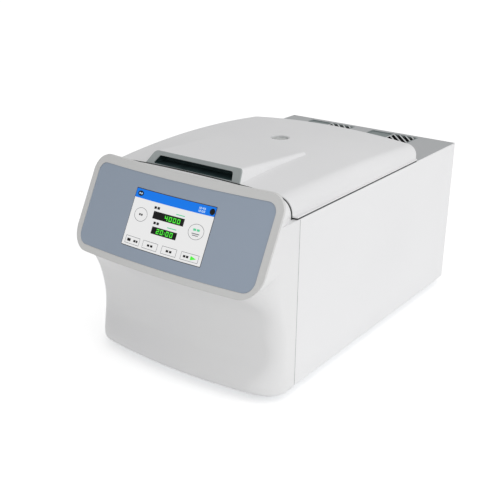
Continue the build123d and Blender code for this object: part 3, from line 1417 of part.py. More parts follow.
def make_power_inlet():
    """Mains inlet socket in the rear panel, with its three pins."""
    half = inlet_body / 2
    z0 = INLET_Z - INLET_HEIGHT / 2
    z1 = INLET_Z + INLET_HEIGHT / 2
    flange = SlotOverall(INLET_WIDTH, INLET_HEIGHT + 2 * INLET_WALL)
    body = through_y(Pos(INLET_X, INLET_Z) * flange, rear_outer, rear_outer + PIN_HEAD)
    body += block(INLET_X - half, INLET_X + half, rear_outer - INLET_DEPTH, rear_outer, z0, z1)
    floor_y = rear_outer - INLET_DEPTH + SHELL_WALL
    socket = block(
        INLET_X - half + INLET_SIDE_WALL,
        INLET_X + half - INLET_SIDE_WALL,
        floor_y,
        rear_outer + 2 * PIN_HEAD,
        z0 + INLET_WALL,
        z1 - INLET_WALL,
    )
    body -= socket
    pin_end = rear_outer - PIN_HEAD
    places = ((-INLET_PIN_APART, -INLET_PIN_LIFT), (INLET_PIN_APART, -INLET_PIN_LIFT), (0, INLET_PIN_LIFT))
    for dx, dz in places:
        x0 = INLET_X + dx - INLET_PIN_PLATE / 2
        low = INLET_Z + dz - INLET_PIN_WIDTH / 2
        body += block(x0, x0 + INLET_PIN_PLATE, floor_y, pin_end, low, low + INLET_PIN_WIDTH)
    return body


def make_switch_frame():
    """Frame of the mains switch, snapped into the rear panel, with the rocker's pivot pin."""
    half = SWITCH_WIDTH / 2
    z0 = SWITCH_Z - SWITCH_HEIGHT / 2
    z1 = SWITCH_Z + SWITCH_HEIGHT / 2
    frame = block(SWITCH_X - half, SWITCH_X + half, rear_outer - SWITCH_DEPTH, rear_outer, z0, z1)
    frame += block(
        SWITCH_X - half - SWITCH_RIM,
        SWITCH_X + half + SWITCH_RIM,
        rear_outer,
        rear_outer + SWITCH_RIM,
        z0 - SWITCH_RIM,
        z1 + SWITCH_RIM,
    )
    frame -= block(
        SWITCH_X - half + SWITCH_WALL,
        SWITCH_X + half - SWITCH_WALL,
        rear_outer - SWITCH_DEPTH + SWITCH_WALL / 2,
        rear_outer + 2 * SWITCH_RIM,
        z0 + SWITCH_WALL / 2,
        z1 - SWITCH_WALL / 2,
    )
    return frame + rod_x(SWITCH_RIM, SWITCH_X - half, SWITCH_X + half, rocker_y, SWITCH_Z)


def make_rocker():
    """Rocker with a shallow V front, shown tipped to its off side."""
    half = SWITCH_WIDTH / 2 - SWITCH_WALL - SEAT_GAP
    rocker = rod_x(ROCKER_RADIUS, -half, half, 0, 0)
    rocker &= block(-half, half, -SWITCH_RIM * 2, 2 * ROCKER_RADIUS, -ROCKER_RADIUS, ROCKER_RADIUS)
    wide = 2 * half
    reach = 2 * ROCKER_RADIUS
    for way in (-1, 1):
        low, high = sorted((0, way * reach))
        cut = block(-wide, wide, 0, reach, low, high)
        rocker -= Pos(0, ROCKER_FACE, 0) * Rot(-way * ROCKER_THROW / 2, 0, 0) * cut
    rocker -= rod_x(SWITCH_RIM + SHAFT_CLEARANCE, -wide, wide, 0, 0)
    return Pos(SWITCH_X, rocker_y, SWITCH_Z) * Rot(-ROCKER_THROW / 2, 0, 0) * rocker


def make_rubber_feet():
    """Four rubber feet under the chassis plate."""
    feet = []
    for x in (-half_width + FOOT_INSET, half_width - FOOT_INSET):
        for y in (-KICK_Y + FOOT_INSET, rear_outer - FOOT_INSET):
            foot = Pos(x, y, FOOT_HEIGHT / 2) * Cone(FOOT_TIP_RADIUS, FOOT_RADIUS, FOOT_HEIGHT)
            feet.append(foot)
    return Compound(children=feet)


def make_panel_screws():
    """Button head screws round the edge of the rear panel."""
    screws = []
    x_edge = half_width - SCREW_INSET
    low = FOOT_HEIGHT + SCREW_INSET
    high = deck_low - SCREW_INSET
    for x in (-x_edge, 0, x_edge):
        for z in (low, high):
            screws.append(screw_head(x, z))
    for x in (-x_edge, x_edge):
        screws.append(screw_head(x, (low + high) / 2))
    return Compound(children=screws)


def screw_head(x, z):
    """One screw head on the rear panel."""
    head = rod_y(SCREW_RADIUS, rear_outer, rear_outer + SCREW_HEAD, x, z)
    return chamfer(head.edges().filter_by(GeomType.CIRCLE).sort_by(Axis.Y)[-1], SCREW_HEAD / 2)


PIECES = {
    "front_shell": make_front_shell,
    "panel_bezel": make_panel_bezel,
    "control_overlay": make_control_overlay,
    "touch_screen": make_touch_screen,
    "display_module": make_display_module,
    "control_board": make_control_board,
    "base_plate": make_base_plate,
    "side_panel_left": lambda: make_side_panel(-1),
    "side_panel_right": lambda: make_side_panel(1),
    "rear_panel": make_rear_panel,
    "rear_top_cover": make_rear_top_cover,
    "vent_grille_left": lambda: make_vent_grille(VENT_LEFT_X),
    "vent_grille_right": lambda: make_vent_grille(VENT_RIGHT_X),
    "chamber_deck": make_chamber_deck,
    "deck_edge_seal": make_deck_edge_seal,
    "chamber_bowl": make_chamber_bowl,
    "evaporator_coil": make_evaporator_coil,
    "insulation_foam": make_insulation_foam,
    "guard_ring": make_guard_ring,
    "motor_housing": make_motor_housing,
    "motor_bearings": make_motor_bearings,
    "motor_stator": make_motor_stator,
    "motor_mounts": make_motor_mounts,
    "motor_gaiter": make_motor_gaiter,
    "drive_shaft": make_drive_shaft,
    "motor_rotor": make_motor_rotor,
    "angle_rotor": make_angle_rotor,
    "rotor_lid": make_rotor_lid,
    "rotor_knob": make_rotor_knob,
    "lid_shell": make_lid_shell,
    "grip_surround": make_grip_surround,
    "grip_pocket": make_grip_pocket,
    "lid_liner": make_lid_liner,
    "lid_gasket": make_lid_gasket,
    "lid_insulation": make_lid_insulation,
    "port_tube": make_port_tube,
    "port_glass": make_port_glass,
    "lid_striker": make_lid_striker,
    "hinge_arm_left": lambda: make_hinge_arm(-1),
    "hinge_arm_right": lambda: make_hinge_arm(1),
    "hinge_bracket_left": lambda: make_hinge_bracket(-1),
    "hinge_bracket_right": lambda: make_hinge_bracket(1),
    "hinge_pins": make_hinge_pins,
    "latch_bracket": make_latch_bracket,
    "latch_motor": make_latch_motor,
    "latch_hook": make_latch_hook,
    "compressor": make_compressor,
    "compressor_grommets": make_compressor_grommets,
    "condenser": make_condenser,
    "fan_shroud": make_fan_shroud,
    "fan_impeller": make_fan_impeller,
    "discharge_pipe": make_discharge_pipe,
    "liquid_pipe": make_liquid_pipe,
    "filter_drier": make_filter_drier,
    "inverter": make_inverter,
    "power_inlet": make_power_inlet,
    "switch_frame": make_switch_frame,
    "rocker": make_rocker,
    "rubber_feet": make_rubber_feet,
    "panel_screws": make_panel_screws,
}


def place(piece):
    """Moves a piece so that the middle of the footprint is the origin."""
    front = face_y(console_low)
    rear = rear_outer + SWITCH_RIM
    return Pos(0, -(front + rear) / 2, 0) * piece


os.makedirs("parts", exist_ok=True)
for name, make in PIECES.items():
    export_step(place(make()), f"parts/{name}.step")
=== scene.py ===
from math import asin, cos, pi, radians, sin

import bmesh
import bpy
from mathutils import Matrix, Vector


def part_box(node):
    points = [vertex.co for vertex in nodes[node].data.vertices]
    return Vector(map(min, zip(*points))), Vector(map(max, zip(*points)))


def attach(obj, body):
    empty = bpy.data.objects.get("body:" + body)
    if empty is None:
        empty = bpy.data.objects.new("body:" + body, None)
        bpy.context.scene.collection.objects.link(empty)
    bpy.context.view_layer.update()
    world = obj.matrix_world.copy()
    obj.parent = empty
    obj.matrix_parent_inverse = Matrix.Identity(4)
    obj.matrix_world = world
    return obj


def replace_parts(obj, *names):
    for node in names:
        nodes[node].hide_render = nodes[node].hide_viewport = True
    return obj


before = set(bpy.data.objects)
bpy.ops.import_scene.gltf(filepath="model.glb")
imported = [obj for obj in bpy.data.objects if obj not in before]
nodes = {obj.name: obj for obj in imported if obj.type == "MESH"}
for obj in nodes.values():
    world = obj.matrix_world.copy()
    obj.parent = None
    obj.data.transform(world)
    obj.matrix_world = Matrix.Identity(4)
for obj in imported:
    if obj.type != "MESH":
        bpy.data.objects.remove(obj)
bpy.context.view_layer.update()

# The view: a machine on a bench, seen from its front right corner, a little from above.
# The lens and the place of the eye come from fitting the machine's straight edges.
LENS_MM = 63.72
FILM_MM = 36.0
EYE = Vector((0.80873, -1.21111, 0.70669))
AHEAD = Vector((-0.53976, 0.75539, -0.37154))
TO_RIGHT = Vector((0.81022, 0.58595, 0.01426))
TO_TOP = Vector((-0.22848, 0.29334, 0.92831))

lens = bpy.data.cameras.new("bench_view")
lens.lens = LENS_MM
lens.sensor_width = FILM_MM
eye = bpy.data.objects.new("bench_view", lens)
bpy.context.scene.collection.objects.link(eye)
turn = Matrix((TO_RIGHT, TO_TOP, -AHEAD)).transposed().to_4x4()
eye.matrix_world = Matrix.Translation(EYE) @ turn
bpy.context.scene.camera = eye
bpy.context.scene.view_settings.view_transform = "Standard"

# The light: a white tent that is brighter on the machine's right than on its left, as in a
# catalogue studio. Broad soft lamps stand on the right, in front and above, the first the strongest.
TENT_LEFT = 0.34
TENT_RIGHT = 0.98
TENT_BEARING = (0.96, 0.28, 0.0)
TENT_WHITE = (1.0, 1.0, 1.0, 1.0)
LAMP_AIM = Vector((0.0, 0.0, 0.17))

# Each lamp's name, its place, its width and its power in watts.
LAMPS = (
    ("right_softbox", (2.4, -0.4, 1.1), 1.6, 7.0),
    ("front_softbox", (-1.2, -2.4, 1.3), 1.8, 3.0),
    ("top_softbox", (0.1, 0.2, 2.6), 2.2, 3.5),
)


def add_step(tree, kind, operation=None, **values):
    """Adds one step to how a light or a finish is worked out, with its values by their names."""
    added = tree.nodes.new(kind)
    if operation:
        added.operation = operation
    for socket, value in values.items():
        added.inputs[socket.replace("_", " ")].default_value = value
    return added


def brighter(tree, first, second):
    """The brighter of two strengths."""
    pick = add_step(tree, "ShaderNodeMath", "MAXIMUM")
    tree.links.new(first, pick.inputs[0])
    tree.links.new(second, pick.inputs[1])
    return pick.outputs[0]


tent = bpy.data.worlds.new("white_tent")
tent.use_nodes = True
bpy.context.scene.world = tent
tree = tent.node_tree
backdrop = tree.nodes["Background"]
backdrop.inputs["Color"].default_value = TENT_WHITE
ray = add_step(tree, "ShaderNodeLightPath").outputs
where = add_step(tree, "ShaderNodeTexCoord")
heading = add_step(tree, "ShaderNodeVectorMath", "DOT_PRODUCT")
heading.inputs[1].default_value = TENT_BEARING
across = add_step(
    tree, "ShaderNodeMapRange", From_Min=-1.0, From_Max=1.0, To_Min=TENT_LEFT, To_Max=TENT_RIGHT
)
tree.links.new(where.outputs["Generated"], heading.inputs[0])
tree.links.new(heading.outputs["Value"], across.inputs["Value"])
seen = brighter(tree, ray["Is Camera Ray"], ray["Is Transmission Ray"])
tree.links.new(brighter(tree, seen, across.outputs["Result"]), backdrop.inputs["Strength"])

for lamp_name, stand, width, power in LAMPS:
    lamp = bpy.data.lights.new(lamp_name, "AREA")
    lamp.size = width
    lamp.energy = power
    holder = bpy.data.objects.new(lamp_name, lamp)
    bpy.context.scene.collection.objects.link(holder)
    holder.location = stand
    holder.rotation_euler = (LAMP_AIM - Vector(stand)).to_track_quat("-Z", "Y").to_euler()

# The bench top: a pale sheet under the machine that keeps its soft shadow.
# It stands in for the paper of the studio, and it isn't part of the machine.
SHEET_HALF = 9.0
SHEET_GLOW = 0.46
SHEET_PALE = (0.9, 0.9, 0.9, 1.0)

sheet_form = bpy.data.meshes.new("bench_sheet")
ends = (-SHEET_HALF, SHEET_HALF)
sheet_form.from_pydata([(x, y, 0.0) for x in ends for y in ends], [], [(0, 2, 3, 1)])
bench_sheet = bpy.data.objects.new("bench_sheet", sheet_form)
bpy.context.scene.collection.objects.link(bench_sheet)
paper = bpy.data.materials.new("paper")
paper.use_nodes = True
tree = paper.node_tree
tree.nodes.clear()
out = add_step(tree, "ShaderNodeOutputMaterial")
matt = add_step(tree, "ShaderNodeBsdfDiffuse", Color=SHEET_PALE)
glow = add_step(tree, "ShaderNodeEmission")
both = add_step(tree, "ShaderNodeAddShader")
ray = add_step(tree, "ShaderNodeLightPath").outputs
level = add_step(tree, "ShaderNodeMath", "MULTIPLY")
level.inputs[1].default_value = SHEET_GLOW
seen = brighter(tree, ray["Is Camera Ray"], ray["Is Glossy Ray"])
tree.links.new(brighter(tree, seen, ray["Is Transmission Ray"]), level.inputs[0])
tree.links.new(level.outputs[0], glow.inputs["Strength"])
tree.links.new(matt.outputs[0], both.inputs[0])
tree.links.new(glow.outputs[0], both.inputs[1])
tree.links.new(both.outputs[0], out.inputs["Surface"])
sheet_form.materials.append(paper)

# Front shell: one white moulding with the kick, the hollow front and the console.
# It is injection moulded in a satin white plastic with a fine spark-eroded grain.
DRIFT_DETAIL = 3.0
TONE_STOPS = (0.35, 0.65)
GRAIN_DETAIL = 2.0
GRAIN_STRENGTH = 0.35
GLOSS_DRIFT = 0.05
EDGE_SAMPLES = 6


def eye_colour(red, green, blue):
    """A colour as the eye reads it, 0 to 255, turned into light by a display's usual curve."""
    def to_light(value):
        share = value / 255
        return share / 12.92 if share <= 0.04045 else ((share + 0.055) / 1.055) ** 2.4
    return (to_light(red), to_light(green), to_light(blue), 1.0)


def round_marks(tree, place, middle):
    """Places as reach from an upright axis and height, so that a grain on them runs round it."""
    link = tree.links.new
    off = add_step(tree, "ShaderNodeVectorMath", "SUBTRACT")
    off.inputs[1].default_value = middle
    split = add_step(tree, "ShaderNodeSeparateXYZ")
    flat = add_step(tree, "ShaderNodeCombineXYZ")
    reach = add_step(tree, "ShaderNodeVectorMath", "LENGTH")
    polar = add_step(tree, "ShaderNodeCombineXYZ")
    link(place, off.inputs[0])
    link(off.outputs[0], split.inputs[0])
    link(split.outputs["X"], flat.inputs["X"])
    link(split.outputs["Y"], flat.inputs["Y"])
    link(flat.outputs[0], reach.inputs[0])
    link(reach.outputs["Value"], polar.inputs["X"])
    link(split.outputs["Z"], polar.inputs["Y"])
    return polar.outputs[0]


def surface_finish(
    name, pale, deep, patch, rough, grain, depth, edge=0.0004, rings=None, lay=None, **fixed
):
    """A finish that drifts between two shades, with its own gloss drift, grain and edge softness.

    patch and grain are how many drifts and grains lie along a metre, rough is the roughness that
    the gloss drifts about, and depth is the grain's. edge is the radius to which sharp edges are
    broken. rings is the middle of a turned or drawn piece, whose tool marks run round it. lay
    stretches the marks of a brushed one.
    """
    finish = bpy.data.materials.new(name)
    finish.use_nodes = True
    tree = finish.node_tree
    link = tree.links.new
    shader = tree.nodes["Principled BSDF"]
    for socket, value in fixed.items():
        shader.inputs[socket.replace("_", " ")].default_value = value
    place = add_step(tree, "ShaderNodeTexCoord").outputs["Object"]
    marks = place if rings is None else round_marks(tree, place, rings)
    if lay is not None:
        stretch = add_step(tree, "ShaderNodeMapping", Scale=lay)
        link(marks, stretch.inputs["Vector"])
        marks = stretch.outputs[0]
    drift = add_step(tree, "ShaderNodeTexNoise", Scale=patch, Detail=DRIFT_DETAIL)
    link(place, drift.inputs["Vector"])
    tone = add_step(tree, "ShaderNodeValToRGB")
    for stop, spot, shade in zip(tone.color_ramp.elements, TONE_STOPS, (deep, pale)):
        stop.position = spot
        stop.color = shade
    link(drift.outputs["Fac"], tone.inputs["Fac"])
    link(tone.outputs["Color"], shader.inputs["Base Color"])
    pores = add_step(tree, "ShaderNodeTexNoise", Scale=grain, Detail=GRAIN_DETAIL)
    link(marks, pores.inputs["Vector"])
    gloss = add_step(
        tree, "ShaderNodeMapRange", To_Min=rough - GLOSS_DRIFT, To_Max=rough + GLOSS_DRIFT
    )
    link(pores.outputs["Fac"], gloss.inputs["Value"])
    link(gloss.outputs["Result"], shader.inputs["Roughness"])
    bump = add_step(tree, "ShaderNodeBump", Strength=GRAIN_STRENGTH, Distance=depth)
    link(pores.outputs["Fac"], bump.inputs["Height"])
    broken_edge = add_step(tree, "ShaderNodeBevel", Radius=edge)
    broken_edge.samples = EDGE_SAMPLES
    link(broken_edge.outputs["Normal"], bump.inputs["Normal"])
    link(bump.outputs["Normal"], shader.inputs["Normal"])
    return finish


def dress(finish, *node_names):
    """Gives one or more solids a finish."""
    for node_name in node_names:
        form = nodes[node_name].data
        form.materials.clear()
        form.materials.append(finish)


white_moulding = surface_finish(
    "white_moulding", eye_colour(240, 240, 240), eye_colour(238, 238, 239),
    patch=5, rough=0.42, grain=1400, depth=0.00003, edge=0.0012
)
dress(white_moulding, "front_shell")

# Trim ring round the control face: a separate warm grey moulding, clipped on from the front.
# It stands a little proud of the printed plate that it frames.
trim_grey = surface_finish(
    "trim_grey", eye_colour(223, 223, 222), eye_colour(220, 220, 219),
    patch=6, rough=0.45, grain=1500, depth=0.00003, edge=0.0009
)
dress(trim_grey, "panel_bezel")

# Front plate: a bowed polycarbonate overlay, printed from behind in a plain blue-grey.
# It is bonded to the shell inside the trim ring.
overlay_ink = surface_finish(
    "overlay_ink", eye_colour(162, 175, 192), eye_colour(160, 173, 190),
    patch=4, rough=0.42, grain=2600, depth=0.00001, Coat_Weight=0.08, Coat_Roughness=0.35
)
dress(overlay_ink, "control_overlay")

# Touch screen: a cover glass over a seven inch display, flush with the plate.
# What it shows is drawn as thin lit shapes on the glass: a bar, two readouts and six keys.
# They lie in three layers, and each shape reaches down nearly to the glass.
PICTURE_MARGIN = 0.0008
PICTURE_LIFT = 0.00012
LAYER = 0.00010
UNDERSIDE = 0.2
GROUND, MARKS, SIGNS = 0, 1, 2

# A place on the glass is found by looking back at it from well in front of the machine.
WELL_IN_FRONT = -1.0

# The display's own light, between a full and a slightly dimmer shade.
DIM_SHARE = 0.97
DOTS_PER_METRE = 900
GLASS_BLACK = (0.01, 0.01, 0.01, 1.0)
GLASS_ROUGH = 0.3
GLASS_SPECULAR = 0.12

# Numbers: seven bars a digit, and gaps and dots as shares of a digit's width and height.
DIGIT_BARS = {"0": "abcdef", "1": "bc", "2": "abged", "4": "fgbc", "5": "afgcd"}
DIGIT_GAP = 0.45
COLON_GAP = 0.35
COLON_DOTS = (0.3, 0.62)

# Boxes and words: left, top, right and bottom, as shares of the picture's width and height.
BAR_END = 0.158
GROUND_STRIPS = 16
SPEED_BOX = (0.295, 0.306, 0.686, 0.436)
SPEED_STRIPS = 8
TIME_BOX = (0.329, 0.565, 0.645, 0.69)
TIME_STRIPS = 6
READOUT_WORDS = (
    (0.286, 0.224, 0.316, 0.268), (0.326, 0.224, 0.356, 0.268),
    (0.328, 0.48, 0.358, 0.524), (0.368, 0.48, 0.398, 0.524),
)
READOUT_UNITS = ((0.57, 0.258, 0.675, 0.273), (0.51, 0.513, 0.625, 0.528))
LEFT_KEY_WORD = ((0.118, 0.413, 0.137, 0.447), (0.145, 0.413, 0.164, 0.447))
RIGHT_KEY_WORD = ((0.812, 0.415, 0.845, 0.452), (0.855, 0.415, 0.888, 0.452))
RIGHT_KEY_LINES = ((0.805, 0.492, 0.895, 0.507), (0.815, 0.523, 0.885, 0.536))
LOW_KEYS = ((0.035, 0.225), (0.27, 0.46), (0.515, 0.70), (0.755, 0.965))
LOW_KEY_TOP = 0.83
LOW_KEY_END = 0.965
FIRST_KEY_WORD = (
    (0.06, 0.875, 0.105, 0.925), (0.145, 0.88, 0.172, 0.918), (0.178, 0.88, 0.2, 0.918),
)
LAST_KEY_WORD = ((0.785, 0.88, 0.812, 0.918), (0.82, 0.88, 0.848, 0.918))
KEY_WORD_FAR = 0.035
KEY_WORD_NEAR = 0.006
KEY_WORD_TOP = 0.88
KEY_WORD_END = 0.918
START_ARROW = ((0.872, 0.866), (0.94, 0.902), (0.872, 0.938))

# Round marks: the middle in the same shares, then half the width and height in metres.
LEFT_KEY = (0.141, 0.43, 0.0129, 0.0096)
RIGHT_KEY = (0.85, 0.465, 0.0140, 0.0105)
BAR_DISCS = ((0.0645, 0.078, 0.0058, 0.0036), (0.9655, 0.082, 0.0046, 0.0043))
BAR_DOTS = ((0.0515, 0.078, 0.0013, 0.0013), (0.0775, 0.078, 0.0013, 0.0013))
ROUND_LINE = 0.0006
KEY_LINE = 0.00055
KEY_POINTS = 24
DOT_POINTS = 12

# Numbers shown: left, top, a digit's width and height, and its stroke as a share of its width.
SPEED_NUMBER = ("4000", 0.448, 0.334, 0.036, 0.082, 0.24)
TIME_NUMBER = ("20:00", 0.392, 0.585, 0.0345, 0.084, 0.24)
CLOCK_NUMBER = ("10:45", 0.80, 0.045, 0.014, 0.035, 0.3)
ALARM_NUMBER = ("12:00", 0.80, 0.095, 0.014, 0.035, 0.3)

cover_glass = surface_finish(
    "cover_glass", eye_colour(30, 32, 35), eye_colour(26, 28, 31),
    patch=8, rough=0.12, grain=900, depth=0.000002, Coat_Weight=0.4, Coat_Roughness=0.05
)
dress(cover_glass, "touch_screen")
glass_low, glass_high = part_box("touch_screen")
picture_left = glass_low.x + PICTURE_MARGIN
picture_width = glass_high.x - glass_low.x - 2 * PICTURE_MARGIN
picture_top = glass_high.z - PICTURE_MARGIN
picture_height = glass_high.z - glass_low.z - 2 * PICTURE_MARGIN


def lit_colour(name, colour):
    """A colour that the display gives off by itself, a little uneven from dot to dot."""
    finish = bpy.data.materials.new(name)
    finish.use_nodes = True
    tree = finish.node_tree
    shader = tree.nodes["Principled BSDF"]
    shader.inputs["Emission Strength"].default_value = 1.0
    shader.inputs["Base Color"].default_value = GLASS_BLACK
    shader.inputs["Roughness"].default_value = GLASS_ROUGH
    shader.inputs["Specular IOR Level"].default_value = GLASS_SPECULAR
    place = add_step(tree, "ShaderNodeTexCoord")
    dots = add_step(tree, "ShaderNodeTexNoise", Scale=DOTS_PER_METRE)
    tone = add_step(tree, "ShaderNodeValToRGB")
    tone.color_ramp.elements[0].color = [part * DIM_SHARE for part in colour[:3]] + [1.0]
    tone.color_ramp.elements[1].color = colour
    tree.links.new(place.outputs["Object"], dots.inputs["Vector"])
    tree.links.new(dots.outputs["Fac"], tone.inputs["Fac"])
    tree.links.new(tone.outputs["Color"], shader.inputs["Emission Color"])
    return finish


def wall(form, lower, upper):
    """The faces that stand between two closed rings with as many points."""
    corners = zip(lower, lower[1:] + lower[:1], upper[1:] + upper[:1], upper)
    return [form.faces.new(four) for four in corners]


def thin_plates(outlines, place_at, low, high):
    """A form of thin closed plates on a surface, each from one lift off it to another."""
    form = bmesh.new()
    for outline in outlines:
        under = [form.verts.new(place_at(*point, low)) for point in outline]
        over = [form.verts.new(place_at(*point, high)) for point in outline]
        form.faces.new(over)
        form.faces.new(list(reversed(under)))
        wall(form, under, over)
    return form


def finished_piece(name, form, *finishes):
    """Makes a piece of a form, with its finishes."""
    bmesh.ops.recalc_face_normals(form, faces=form.faces)
    data = bpy.data.meshes.new(name)
    form.to_mesh(data)
    form.free()
    for finish in finishes:
        data.materials.append(finish)
    piece = bpy.data.objects.new(name, data)
    bpy.context.scene.collection.objects.link(piece)
    return piece


def on_glass(across, down, lift):
    """The place on the glass for shares of the picture's width and height, raised off it."""
    x = picture_left + across * picture_width
    z = picture_top - down * picture_height
    start = Vector((x, WELL_IN_FRONT, z))
    _, place, normal, _ = nodes["touch_screen"].ray_cast(start, Vector((0.0, 1.0, 0.0)))
    return place + normal * lift


def lit_shapes(name, outlines, layer, finish):
    """Flat lit shapes on the glass, each an outline in shares of the picture, as one thin piece."""
    low = PICTURE_LIFT + layer * LAYER
    form = thin_plates(outlines, on_glass, UNDERSIDE * low, low + LAYER)
    piece = finished_piece(name, form, finish)
    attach(piece, "housing")


def oblong(left, top, right, bottom):
    """The corners of a rectangle."""
    return [(left, top), (right, top), (right, bottom), (left, bottom)]


def strips(left, top, right, bottom, columns):
    """A wide rectangle cut into upright strips that follow the bowed glass."""
    steps = [left + (right - left) * number / columns for number in range(columns + 1)]
    return [oblong(a, top, b, bottom) for a, b in zip(steps, steps[1:])]


def oval(u, v, half_wide, half_tall, points=KEY_POINTS):
    """An oval outline of two half sizes in metres."""
    angles = [2 * pi * number / points for number in range(points)]
    wide = half_wide / picture_width
    tall = half_tall / picture_height
    return [(u + wide * cos(angle), v + tall * sin(angle)) for angle in angles]


def oval_line(u, v, half_wide, half_tall):
    """A thin oval line, as short straight pieces."""
    outer = oval(u, v, half_wide, half_tall)
    inner = oval(u, v, half_wide - ROUND_LINE, half_tall - ROUND_LINE)
    next_outer = outer[1:] + outer[:1]
    next_inner = inner[1:] + inner[:1]
    return [[a, b, d, c] for a, b, c, d in zip(outer, next_outer, inner, next_inner)]


def frame_lines(left, top, right, bottom):
    """Four thin lines round a rectangular key."""
    across = KEY_LINE / picture_width
    down = KEY_LINE / picture_height
    return [
        oblong(left, top, right, top + down),
        oblong(left, bottom - down, right, bottom),
        oblong(left, top + down, left + across, bottom - down),
        oblong(right - across, top + down, right, bottom - down),
    ]


def number_bars(text, left, top, wide, tall, stroke):
    """A number as upright and level bars, from its left top corner."""
    shapes = []
    thick_u = stroke * wide
    thick_v = stroke * wide * picture_width / picture_height
    middle = top + tall / 2
    bottom = top + tall
    u = left
    for sign in text:
        right = u + wide
        bars = {
            "a": oblong(u, top, right, top + thick_v),
            "b": oblong(right - thick_u, top, right, middle),
            "c": oblong(right - thick_u, middle, right, bottom),
            "d": oblong(u, bottom - thick_v, right, bottom),
            "e": oblong(u, middle, u + thick_u, bottom),
            "f": oblong(u, top, u + thick_u, middle),
            "g": oblong(u, middle - thick_v / 2, right, middle + thick_v / 2),
        }
        if sign in DIGIT_BARS:
            shapes += [bars[letter] for letter in DIGIT_BARS[sign]]
            u = right + wide * DIGIT_GAP
        else:
            for dot in COLON_DOTS:
                dot_top = top + dot * tall
                shapes.append(oblong(u, dot_top, u + thick_u, dot_top + thick_v))
            u += thick_u + wide * COLON_GAP
    return shapes


screen_white = lit_colour("screen_white", eye_colour(233, 233, 233))
screen_blue = lit_colour("screen_blue", eye_colour(0, 118, 232))
screen_black = lit_colour("screen_black", eye_colour(8, 8, 8))
screen_green = lit_colour("screen_green", eye_colour(80, 240, 60))
screen_mint = lit_colour("screen_mint", eye_colour(90, 205, 150))
screen_line = lit_colour("screen_line", eye_colour(104, 106, 110))
screen_pale = lit_colour("screen_pale", eye_colour(196, 222, 248))

lit_shapes("screen_ground", strips(0.0, BAR_END, 1.0, 1.0, GROUND_STRIPS), GROUND, screen_white)
lit_shapes("screen_bar", strips(0.0, 0.0, 1.0, BAR_END, GROUND_STRIPS), GROUND, screen_blue)

dark_shapes = strips(*SPEED_BOX, SPEED_STRIPS) + strips(*TIME_BOX, TIME_STRIPS)
dark_shapes += [oval(*disc) for disc in BAR_DISCS]
for word in READOUT_WORDS + FIRST_KEY_WORD + LAST_KEY_WORD + LEFT_KEY_WORD:
    dark_shapes.append(oblong(*word))
for left, right in LOW_KEYS[1:3]:
    middle = (left + right) / 2
    for near, far in ((-KEY_WORD_FAR, -KEY_WORD_NEAR), (KEY_WORD_NEAR, KEY_WORD_FAR)):
        dark_shapes.append(oblong(middle + near, KEY_WORD_TOP, middle + far, KEY_WORD_END))
lit_shapes("screen_dark_marks", dark_shapes, MARKS, screen_black)

key_lines = oval_line(*LEFT_KEY) + oval_line(*RIGHT_KEY)
for left, right in LOW_KEYS:
    key_lines += frame_lines(left, LOW_KEY_TOP, right, LOW_KEY_END)
key_lines += [oblong(*line) for line in RIGHT_KEY_LINES]
lit_shapes("screen_key_lines", key_lines, MARKS, screen_line)

green_shapes = number_bars(*SPEED_NUMBER) + number_bars(*TIME_NUMBER) + [START_ARROW]
lit_shapes("screen_green_numbers", green_shapes, SIGNS, screen_green)
mint_shapes = [oblong(*word) for word in READOUT_UNITS + RIGHT_KEY_WORD]
lit_shapes("screen_mint_marks", mint_shapes, SIGNS, screen_mint)
bar_marks = number_bars(*CLOCK_NUMBER) + number_bars(*ALARM_NUMBER)
bar_marks += [oval(*dot, DOT_POINTS) for dot in BAR_DOTS]
lit_shapes("screen_bar_marks", bar_marks, SIGNS, screen_pale)

# Display housing and its circuit board: behind the glass, on standoffs in the console.
# The housing is black plastic, the board green laminate.
module_black = surface_finish(
    "module_black", eye_colour(44, 44, 46), eye_colour(38, 38, 40),
    patch=20, rough=0.5, grain=1800, depth=0.00002
)
board_green = surface_finish(
    "board_green", eye_colour(34, 96, 58), eye_colour(26, 82, 48),
    patch=60, rough=0.4, grain=700, depth=0.00003
)
dress(module_black, "display_module")
dress(board_green, "control_board")

# Sheet metal sides and rear: folded steel, powder coated white, with a slight orange peel.
# They are screwed to the chassis plate and butt against the front shell.
FOLD_RADIUS = 0.0013
FOLD_STEPS = 6
SHEET_COLUMNS = 12
SHEET_ROWS = 6

sheet_white = surface_finish(
    "sheet_white", eye_colour(243, 243, 244), eye_colour(241, 241, 242),
    patch=3, rough=0.4, grain=650, depth=0.00004, edge=0.0012
)


